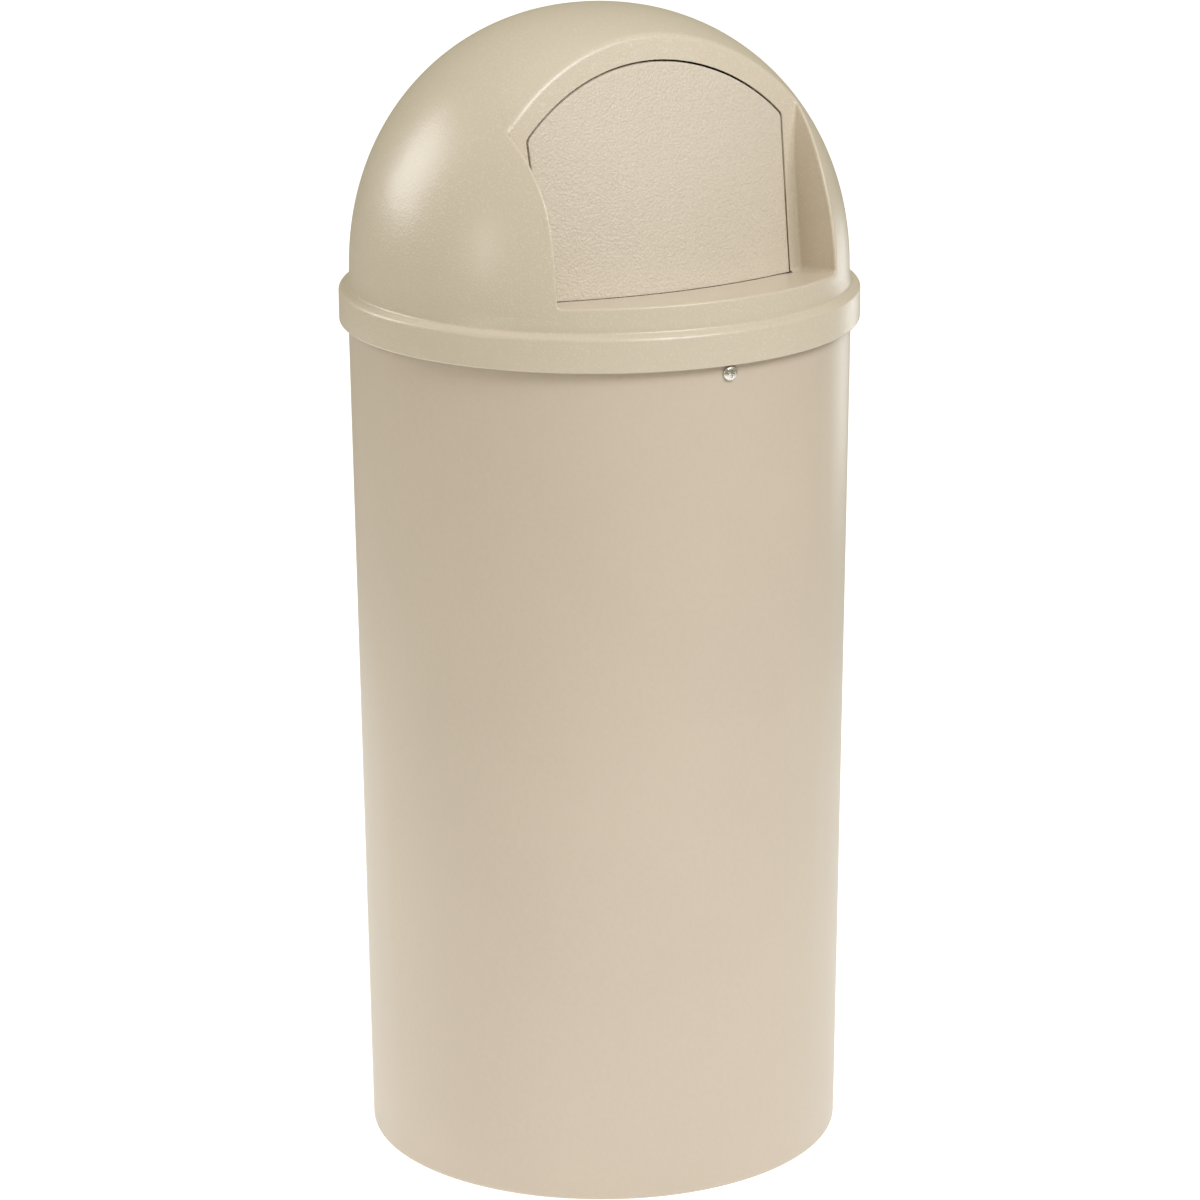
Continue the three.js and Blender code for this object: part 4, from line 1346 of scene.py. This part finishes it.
def door_knuckle(side):
    """A bored knuckle that turns on the hinge rod, with its foot on the door."""
    low, high = span(side, KNUCKLE_START, KNUCKLE_LENGTH)
    form = Form().add(ring_form(ROD_RADIUS + BORE_GAP, KNUCKLE_RADIUS, low, high), at_hinge)
    plate_middle = face_forward(KNUCKLE_START, HINGE_Z) - DOOR_WALL / 2
    return form.add(block(
        (low, -plate_middle, HINGE_Z - KNUCKLE_RADIUS),
        (high, HINGE_Y - ROD_RADIUS - ROD_CLEARANCE, HINGE_Z + KNUCKLE_FOOT_TOP),
    ))


def bumper_back_depth():
    """How far behind the door face the soft stops' backs are, clear of the frame's wall."""
    frame_back = FRAME_WALL * math.hypot(1, FACE_LEAN)
    return frame_back + 2 * SEAT_GAP + BUMPER_THICKNESS


def stop_tab(side, half_gap):
    """The tab that comes up behind the frame, with its root on the door."""
    low, high = box_mm("door_bumper_right")
    bottom, top = low[2] - TAB_MARGIN, high[2] + TAB_MARGIN
    clear = DOOR_HALF + DOOR_SPREAD * (bottom - FACE_REFERENCE) - half_gap
    front = bumper_back_depth() + SEAT_GAP
    back = front + TAB_THICKNESS
    root = sorted((side * (clear - 2 * DOOR_RIM_WIDTH), side * clear))
    reach = sorted((side * (clear - DOOR_RIM_WIDTH), side * DOOR_HIGH[0]))
    form = face_slab(root, (bottom, top), (DOOR_WALL / 2, back), (1, TAB_STEPS))
    return form.add(face_slab(reach, (bottom, top), (front, back), (3, TAB_STEPS), TAB_ROUND))


def door_form(sizes):
    half_gap = sizes["door_gap"] / 2
    form = door_panel(half_gap).add(door_ribs(half_gap))
    for side in (-1, 1):
        form.add(door_knuckle(side))
        form.add(stop_tab(side, half_gap))
    return form


def bumper_form(word):
    """A soft stop that lies between a tab and the frame's back."""
    low, high = box_mm(f"door_bumper_{word}")
    depths = (bumper_back_depth() - BUMPER_THICKNESS, bumper_back_depth())
    return face_slab((low[0], high[0]), (low[2], high[2]), depths, (2, TAB_STEPS), BUMPER_ROUND)


# ---- Rod, caps and springs --------------------------------------------------------------------


def rod_form():
    line = soft_line([
        (0, ROD_LOW[0]),
        (ROD_RADIUS, ROD_LOW[0], ROD_END_ROUND),
        (ROD_RADIUS, ROD_HIGH[0], ROD_END_ROUND),
        (0, ROD_HIGH[0]),
    ], steps=3)
    return Form().add(Form().patch(turned(line, full_turn(SMALL_STEPS))), at_hinge)


def cap_form(word):
    """A push-on cap: a crowned ring with a rolled edge."""
    low, high = box_mm(f"rod_cap_{word}")
    radius = (high[1] - low[1]) / 2
    return Form().add(ring_form(ROD_RADIUS + BORE_GAP, radius, low[0], high[0], CAP_ROUND), at_hinge)


def spring_path(side):
    """The wire's middle line: its end in the boss, the coil round the rod, and the leg on the door."""
    press_height = HINGE_Z - COIL_LEG_DROP
    coil_end = KNUCKLE_START + KNUCKLE_LENGTH + WIRE_WIDTH
    coil_start = BOSS_START - WIRE_WIDTH
    press_forward = face_forward(coil_end, press_height) - DOOR_WALL - SEAT_GAP - WIRE_WIDTH / 2
    ahead = press_forward + HINGE_Y
    reach = math.hypot(ahead, COIL_LEG_DROP)
    end_turn = math.atan2(-COIL_LEG_DROP, ahead) + math.acos(COIL_RADIUS / reach)
    leg = math.sqrt(reach ** 2 - COIL_RADIUS ** 2)
    tail = BOSS_LENGTH / 2 + WIRE_WIDTH
    turned_through = end_turn - math.pi - 2 * math.pi * COIL_TURNS
    coil = abs(turned_through) * COIL_RADIUS
    travelled = np.linspace(0, tail + coil + leg, WIRE_STEPS)
    share = np.clip((travelled - tail) / coil, 0, 1)
    angle = math.pi + turned_through * share
    along = np.maximum(travelled - tail - coil, 0)
    x = coil_start + (coil_end - coil_start) * share + np.maximum(tail - travelled, 0)
    forward = COIL_RADIUS * np.cos(angle) + along * np.sin(angle)
    rise = COIL_RADIUS * np.sin(angle) - along * np.cos(angle)
    return np.column_stack([side * x, HINGE_Y - forward, HINGE_Z + rise])


def tube_form(path, radius):
    """A round wire along a path, with closed ends; its section is carried along without twisting."""
    ahead = np.gradient(path, axis=0)
    ahead /= np.linalg.norm(ahead, axis=1, keepdims=True)
    across = np.cross(ahead[0], [0, 0, 1.0])
    across /= np.linalg.norm(across)
    turn = full_turn(WIRE_SIDES)
    rings = []
    for point, direction in zip(path, ahead):
        across = across - direction * (across @ direction)
        across /= np.linalg.norm(across)
        other = np.cross(direction, across)
        rings.append(point + radius * (np.outer(np.cos(turn), across) + np.outer(np.sin(turn), other)))
    return Form().patch(rings).lid(rings[0][::-1]).lid(rings[-1])


# ---- Latches ----------------------------------------------------------------------------------


def cross_depth(x, y, depth):
    """Depth of a cross recess, with sloping walls and rounded slot ends."""

    def slot(along, over):
        width = CROSS_HALF_WIDTH + CROSS_SLOPE
        side = np.clip((width - np.abs(over)) / (2 * CROSS_SLOPE), 0, 1)
        end = np.clip((CROSS_HALF_LENGTH - np.abs(along)) / CROSS_END_SLOPE, 0, 1)
        return side * end

    return depth * eased(np.maximum(slot(x, y), slot(y, x)))


def crowned_head(radius, rise, rings, turn, recess):
    """Rings over a domed screw head from its middle, along +Z, with a recess pressed in."""
    rows = []
    for distance in radius * np.sin(np.linspace(0, math.pi / 2, rings)):
        x, y = distance * np.cos(turn), distance * np.sin(turn)
        crown = rise * math.sqrt(max(0.0, 1 - (distance / radius) ** 2))
        rows.append(np.column_stack([x, y, crown - recess(x, y)]))
    return rows


def latch_screw_form(word, sign):
    """The domed head with its cross recess, and the shank, along +Z."""
    low, high, near, far = reach_of(f"latch_screw_{word}", sign)
    head_radius = (high[0] - low[0]) / 2
    seat = far - LATCH_HEAD_HEIGHT
    edge_top = seat + LATCH_HEAD_EDGE
    turn = full_turn(LATCH_HEAD_STEPS)
    rise = LATCH_HEAD_HEIGHT - LATCH_HEAD_EDGE
    head = crowned_head(
        head_radius, rise, LATCH_HEAD_RINGS, turn, lambda x, y: cross_depth(x, y, CROSS_DEPTH)
    )
    under = soft_line([
        (head_radius, edge_top),
        (head_radius, seat, LATCH_HEAD_ROUND),
        (SHANK_RADIUS, seat, SHANK_ROOT_ROUND),
        (SHANK_RADIUS, near, SHANK_END_ROUND),
        (0, near),
    ], steps=4)
    rows = [row + [0, 0, edge_top] for row in head]
    rows += list(turned(under, turn + math.pi / 2))
    return Form().patch(rows)


def arm_outline(half, length, sign):
    """A flat bar with round ends, the lower one about the screw, run the right way round."""
    swing = np.linspace(0, math.pi, ARM_END_STEPS + 1)
    ends = [(half * math.cos(a), length + half * math.sin(a)) for a in swing]
    ends += [(-half * math.cos(a), -half * math.sin(a)) for a in swing]
    return [(-x, y) for x, y in ends][::-1] if sign > 0 else ends


def nut_outline(across):
    """A hexagon with corners at a distance from its middle."""
    half_side = math.pi / NUT_SIDES
    outline = []
    for turn in full_turn(NUT_STEPS):
        off_flat = (turn + half_side) % (2 * half_side) - half_side
        flat = across * min(1.0, math.cos(half_side) / math.cos(off_flat))
        outline.append((flat * math.cos(turn), flat * math.sin(turn)))
    return outline


def latch_parts(word, sign):
    """The forms of one latch's screw, arm, nut and bush."""
    height = sum(box[2] for box in box_mm(f"latch_screw_{word}")) / 2
    turn = 0 if sign < 0 else math.pi
    hole = SHANK_RADIUS + BORE_GAP

    def placed(form, start=0):
        def move(points):
            points = points + [0, 0, start]
            facing = np.column_stack([points[:, 0], -points[:, 2], points[:, 1]])
            return facing @ turned_by(turn) + [0, 0, height]

        return Form().add(form, move)

    low, high, near, far = reach_of(f"latch_bush_{word}", sign)
    bush = placed(ring_form(hole, (high[0] - low[0]) / 2, near, far))
    low, high, near, far = reach_of(f"latch_arm_{word}", sign)
    half = (high[0] - low[0]) / 2
    outline = arm_outline(half, high[2] - height - half, sign)
    arm = placed(plate(outline, far - near, hole, ARM_ROUND), near)
    low, high, near, far = reach_of(f"latch_nut_{word}", sign)
    across = max(high[0] - low[0], high[2] - low[2]) / 2
    nut = placed(plate(nut_outline(across), far - near, hole, NUT_ROUND), near)
    return {"bush": bush, "arm": arm, "nut": nut, "screw": placed(latch_screw_form(word, sign))}


def keeper_form(word, sign):
    """A bent steel strip: a screwed head, a tongue down past the arm, and a lip below it."""
    low, high, near, far = reach_of(f"latch_keeper_{word}", sign)
    middle = (low[0] + high[0]) / 2
    back = near + KEEPER_THICKNESS
    head_low = high[2] - KEEPER_HEAD_HEIGHT
    tongue = (middle - KEEPER_STRIP_HALF, middle + KEEPER_STRIP_HALF)
    # The three blocks overlap, and the skin keeps their faces and corners from falling together.
    spans = (
        ((low[0], high[0]), (near, back), (head_low, high[2])),
        (
            tongue,
            (near + KEEPER_SKIN, back - KEEPER_SKIN),
            (low[2] + KEEPER_SKIN, head_low + KEEPER_THICKNESS),
        ),
        (
            (tongue[0] + KEEPER_SKIN, tongue[1] - KEEPER_SKIN),
            (near + KEEPER_SKIN * 2, far),
            (low[2], low[2] + KEEPER_THICKNESS),
        ),
    )
    form = Form()
    for x, forward, z in spans:
        y = sorted(sign * value for value in forward)
        form.add(block((x[0], y[0], z[0]), (x[1], y[1], z[1]), KEEPER_ROUND))
    return form


def keeper_screw_form(word, number, sign):
    """A pan-head screw with a cross recess, its head towards the axis."""
    low, high, near, far = reach_of(f"keeper_screw_{word}_{number}", sign)
    radius = (high[0] - low[0]) / 2
    turn = full_turn(PAN_HEAD_STEPS)

    def recess(x, y):
        return cross_depth(x * PAN_CROSS_SHRINK, y * PAN_CROSS_SHRINK, PAN_CROSS_DEPTH)

    head = crowned_head(radius, PAN_CROWN, PAN_HEAD_RINGS, turn, recess)
    under = soft_line([
        (radius, near + PAN_CROWN),
        (radius, near + PAN_HEAD_HEIGHT, PAN_HEAD_ROUND),
        (PAN_SHANK_RADIUS, near + PAN_HEAD_HEIGHT, PAN_ROOT_ROUND),
        (PAN_SHANK_RADIUS, far - PAN_POINT),
        (0, far),
    ], steps=4)
    rows = [row - [0, 0, near + PAN_CROWN] for row in head]
    for distance, depth in under:
        across, up = distance * np.cos(turn), distance * np.sin(turn)
        rows.append(np.column_stack([across, up, np.full(len(turn), -depth)]))
    centre = [(low[0] + high[0]) / 2, 0, (low[2] + high[2]) / 2]

    def move(points):
        return np.column_stack([points[:, 0], -sign * points[:, 2], points[:, 1]]) + centre

    return Form().add(Form().patch(rows), move)


# ---- Operators --------------------------------------------------------------------------------


class ReceptacleOperator(bpy.types.Operator):
    """Common base of the operators that make the receptacle's pieces"""

    bl_options = {"REGISTER", "UNDO"}

    def execute(self, context):
        self.make(sizes_mm())
        return {"FINISHED"}


class RECEPTACLE_OT_container(ReceptacleOperator):
    """Make the tapered container with its floor, standing ring and rim"""

    bl_idname = "receptacle.container"
    bl_label = "Container"

    def make(self, sizes):
        form = container_form()
        make_piece("container_shell", form, "container", ["container_body"], "container_plastic")


class RECEPTACLE_OT_band(ReceptacleOperator):
    """Make the elastic band that holds a bag's cuff on the container's neck"""

    bl_idname = "receptacle.band"
    bl_label = "Bag band"

    def make(self, sizes):
        make_piece("bag_cuff_band", band_form(), "container", ["bag_band"], "black_rubber")


class RECEPTACLE_OT_dome(ReceptacleOperator):
    """Make the moulded dome with its recess, door frame, sill and skirt"""

    bl_idname = "receptacle.dome"
    bl_label = "Dome"

    def make(self, sizes):
        form = dome_form(sizes)
        form.add(rod_bosses(sizes))
        form.add(guide_ribs(sizes))
        form.add(keeper_pads())
        make_piece("dome_shell", form, "dome", ["dome_top"], "dome_plastic", sharp=50)


class RECEPTACLE_OT_door(ReceptacleOperator):
    """Make the arched push door with its rim, ribs, knuckles and stop tabs"""

    bl_idname = "receptacle.door"
    bl_label = "Push door"

    def make(self, sizes):
        make_piece("door_panel", door_form(sizes), "door", ["push_door"], "door_plastic")


class RECEPTACLE_OT_hinge(ReceptacleOperator):
    """Make the hinge rod, its caps, the closing springs and the soft stops"""

    bl_idname = "receptacle.hinge"
    bl_label = "Hinge"

    def make(self, sizes):
        make_piece("hinge_rod", rod_form(), "dome", ["door_hinge_rod"], "plated_steel")
        for side, word in ((-1, "left"), (1, "right")):
            cap = cap_form(word)
            wire = tube_form(spring_path(side), WIRE_WIDTH / 2)
            stop = bumper_form(word)
            make_piece(f"hinge_cap_{word}", cap, "dome", [f"rod_cap_{word}"], "plated_steel")
            make_piece(f"closing_spring_{word}", wire, "door", [f"door_spring_{word}"], "spring_steel")
            make_piece(f"soft_stop_{word}", stop, "door", [f"door_bumper_{word}"], "black_rubber")


class RECEPTACLE_OT_latches(ReceptacleOperator):
    """Make the front and rear quarter-turn latches and their keepers"""

    bl_idname = "receptacle.latches"
    bl_label = "Latches"

    def make(self, sizes):
        for word, sign in LATCH_SIGNS.items():
            parts = latch_parts(word, sign)
            keeper = keeper_form(word, sign)
            pieces = (
                ("turn_screw", parts["screw"], f"{word}_latch", "latch_screw", "screw_steel"),
                ("turn_arm", parts["arm"], f"{word}_latch", "latch_arm", "plated_steel"),
                ("turn_nut", parts["nut"], f"{word}_latch", "latch_nut", "plated_steel"),
                ("turn_bush", parts["bush"], "container", "latch_bush", "white_nylon"),
                ("keeper", keeper, "dome", "latch_keeper", "plated_steel"),
            )
            for name, form, body, node, slot in pieces:
                make_piece(f"{name}_{word}", form, body, [f"{node}_{word}"], slot)
            for number in (1, 2):
                screw = keeper_screw_form(word, number, sign)
                node = f"keeper_screw_{word}_{number}"
                make_piece(f"pan_screw_{word}_{number}", screw, "dome", [node], "plated_steel")


# ---- The stage --------------------------------------------------------------------------------

CAMERA_AZIMUTH = math.radians(-29.63)
CAMERA_ELEVATION = math.radians(15.866)
CAMERA_DISTANCE = 4.2337
CAMERA_AIM_HEIGHT = 0.5335
CAMERA_YAW = math.radians(-0.013)
CAMERA_PITCH = math.radians(-0.308)
CAMERA_ROLL = math.radians(-0.295)
CAMERA_LENS = 136.49
CAMERA_SENSOR = 36
CAMERA_REACH = 100

# Name, azimuth and elevation in degrees, distance, width and height in metres, watts, colour
LAMPS = (
    ("key_lamp", 8, 42, 3.2, 1.6, 1.2, 50, (0.98, 0.985, 1)),
    ("top_lamp", 0, 85, 2.4, 2.6, 2.6, 9, (1, 1, 1)),
    ("left_lamp", -82, 14, 2.6, 0.4, 0.8, 4.2, (1, 0.98, 0.93)),
    ("back_left_lamp", -137, 25, 2.6, 1.1, 1.2, 17, (1, 1, 1)),
    ("right_lamp", 112, -7, 2.6, 0.9, 0.55, 2.5, (0.92, 0.97, 1)),
)
LAMP_AIM_HEIGHT = CAMERA_AIM_HEIGHT + 0.1
WORLD_LIGHT = 0.37
WORLD_TINT = (1.0, 0.92, 0.64)
FLOOR_SIZE = 60.0
FLOOR_GREY = 0.72
# Painted light: how strongly the floor glows near the receptacle, lighting its lower sides; the camera
# never sees this glow.
FLOOR_PAINTED_GLOW = 0.52
FLOOR_SEEN = 0.9
FLOOR_LIT_NEAR = 1.0
FLOOR_LIT_FAR = 2.3


def direction_of(azimuth, elevation):
    return Vector((
        math.sin(azimuth) * math.cos(elevation),
        -math.cos(azimuth) * math.cos(elevation),
        math.sin(elevation),
    ))


def tipped(first, second, angle):
    """Two directions square to each other, the first tipped towards the second by an angle."""
    return (
        first * math.cos(angle) + second * math.sin(angle),
        second * math.cos(angle) - first * math.sin(angle),
    )


def add_camera():
    """The camera at its fitted place, a little turned, tipped and rolled from its aim."""
    aim = Vector((0, 0, CAMERA_AIM_HEIGHT))
    place = aim + direction_of(CAMERA_AZIMUTH, CAMERA_ELEVATION) * CAMERA_DISTANCE
    ahead = (aim - place).normalized()
    right = ahead.cross(Vector((0, 0, 1))).normalized()
    up = right.cross(ahead)
    ahead, right = tipped(ahead, right, CAMERA_YAW)
    ahead, up = tipped(ahead, up, CAMERA_PITCH)
    right, up = tipped(right, up, CAMERA_ROLL)
    data = bpy.data.cameras.new("camera")
    data.lens = CAMERA_LENS
    data.sensor_width = CAMERA_SENSOR
    data.sensor_fit = "HORIZONTAL"
    data.clip_end = CAMERA_REACH
    camera = bpy.data.objects.new("camera", data)
    turn = Matrix((right, up, -ahead)).transposed().to_4x4()
    camera.matrix_world = Matrix.Translation(place) @ turn
    bpy.context.scene.collection.objects.link(camera)
    bpy.context.scene.camera = camera


def add_lamps():
    """The area lamps, each facing the receptacle's upper middle."""
    aim = Vector((0, 0, LAMP_AIM_HEIGHT))
    for name, azimuth, elevation, distance, width, height, watts, tint in LAMPS:
        data = bpy.data.lights.new(name, "AREA")
        data.shape = "RECTANGLE"
        data.size = width
        data.size_y = height
        data.energy = watts
        data.color = tint
        lamp = bpy.data.objects.new(name, data)
        away = direction_of(math.radians(azimuth), math.radians(elevation))
        turn = away.to_track_quat("Z", "Y").to_matrix().to_4x4()
        lamp.matrix_world = Matrix.Translation(aim + away * distance) @ turn
        bpy.context.scene.collection.objects.link(lamp)


def add_floor():
    """Paper that the camera sees as near white; near the receptacle it also glows, a painted light that
    brightens the receptacle's lower sides and fades away from it.
    """
    half = FLOOR_SIZE / 2
    corners = [(-half, -half, 0), (half, -half, 0), (half, half, 0), (-half, half, 0)]
    mesh = bpy.data.meshes.new("floor")
    mesh.from_pydata(corners, [], [(0, 1, 2, 3)])
    floor = bpy.data.objects.new("floor", mesh)
    bpy.context.scene.collection.objects.link(floor)
    finish = Finish("floor_paper")
    seen = Signal(finish, finish.node("ShaderNodeLightPath").outputs["Is Camera Ray"])
    reach = finish.node("ShaderNodeVectorMath", {"operation": "LENGTH"}, {0: finish.place})
    away = Signal(finish, reach.outputs["Value"]).limited(FLOOR_LIT_NEAR, FLOOR_LIT_FAR)
    # Painted glow: near the receptacle's foot the floor gives off light onto it, fading to none farther
    # away.
    lit = finish.between(away, shaded(WHITE, FLOOR_PAINTED_GLOW), BLACK)
    finish.set(
        Base_Color=shaded(WHITE, FLOOR_GREY),
        Roughness=0.9,
        Specular_IOR_Level=0.0,
        Emission_Color=finish.between(seen, lit, shaded(WHITE, FLOOR_SEEN)),
        Emission_Strength=1.0,
    )
    mesh.materials.append(finish.material)


def set_world():
    """A soft warm light from all round, which the camera sees as white."""
    world = bpy.data.worlds.new("studio")
    world.use_nodes = True
    nodes, links = world.node_tree.nodes, world.node_tree.links
    background = nodes["Background"]
    path = nodes.new("ShaderNodeLightPath")
    seen = nodes.new("ShaderNodeMix")
    seen.data_type = "RGBA"
    seen.inputs[MIX_FIRST].default_value = (*shaded(WORLD_TINT, WORLD_LIGHT), 1)
    seen.inputs[MIX_SECOND].default_value = (*WHITE, 1)
    links.new(path.outputs["Is Camera Ray"], seen.inputs[MIX_FACTOR])
    links.new(seen.outputs[MIX_RESULT], background.inputs["Color"])
    bpy.context.scene.world = world
    bpy.context.scene.view_settings.view_transform = "Standard"


class RECEPTACLE_OT_stage(ReceptacleOperator):
    """Make the floor, the lamps, the white surround and the camera"""

    bl_idname = "receptacle.stage"
    bl_label = "Stage"

    def make(self, sizes):
        set_world()
        add_floor()
        add_lamps()
        add_camera()


OPERATORS = (
    RECEPTACLE_OT_stage,
    RECEPTACLE_OT_container,
    RECEPTACLE_OT_band,
    RECEPTACLE_OT_dome,
    RECEPTACLE_OT_door,
    RECEPTACLE_OT_hinge,
    RECEPTACLE_OT_latches,
)


class RECEPTACLE_PT_panel(bpy.types.Panel):
    """Lists the receptacle's operators, sizes and finishes"""

    bl_idname = "RECEPTACLE_PT_panel"
    bl_label = "Waste receptacle"
    bl_space_type = "VIEW_3D"
    bl_region_type = "UI"
    bl_category = "Receptacle"

    def draw(self, context):
        for operator in OPERATORS:
            self.layout.operator(operator.bl_idname)
        for group in (context.scene.receptacle_sizes, context.scene.receptacle_finishes):
            for name in type(group).__annotations__:
                self.layout.prop(group, name)


CLASSES = (ReceptacleSizes, ReceptacleFinishes, *OPERATORS, RECEPTACLE_PT_panel)


def register():
    for item in CLASSES:
        bpy.utils.register_class(item)
    bpy.types.Scene.receptacle_sizes = bpy.props.PointerProperty(type=ReceptacleSizes)
    bpy.types.Scene.receptacle_finishes = bpy.props.PointerProperty(type=ReceptacleFinishes)


def unregister():
    del bpy.types.Scene.receptacle_finishes
    del bpy.types.Scene.receptacle_sizes
    for item in reversed(CLASSES):
        bpy.utils.unregister_class(item)


def main():
    register()
    bpy.ops.receptacle.stage()
    bpy.ops.receptacle.container()
    bpy.ops.receptacle.band()
    bpy.ops.receptacle.dome()
    bpy.ops.receptacle.door()
    bpy.ops.receptacle.hinge()
    bpy.ops.receptacle.latches()


if __name__ == "__main__":
    main()
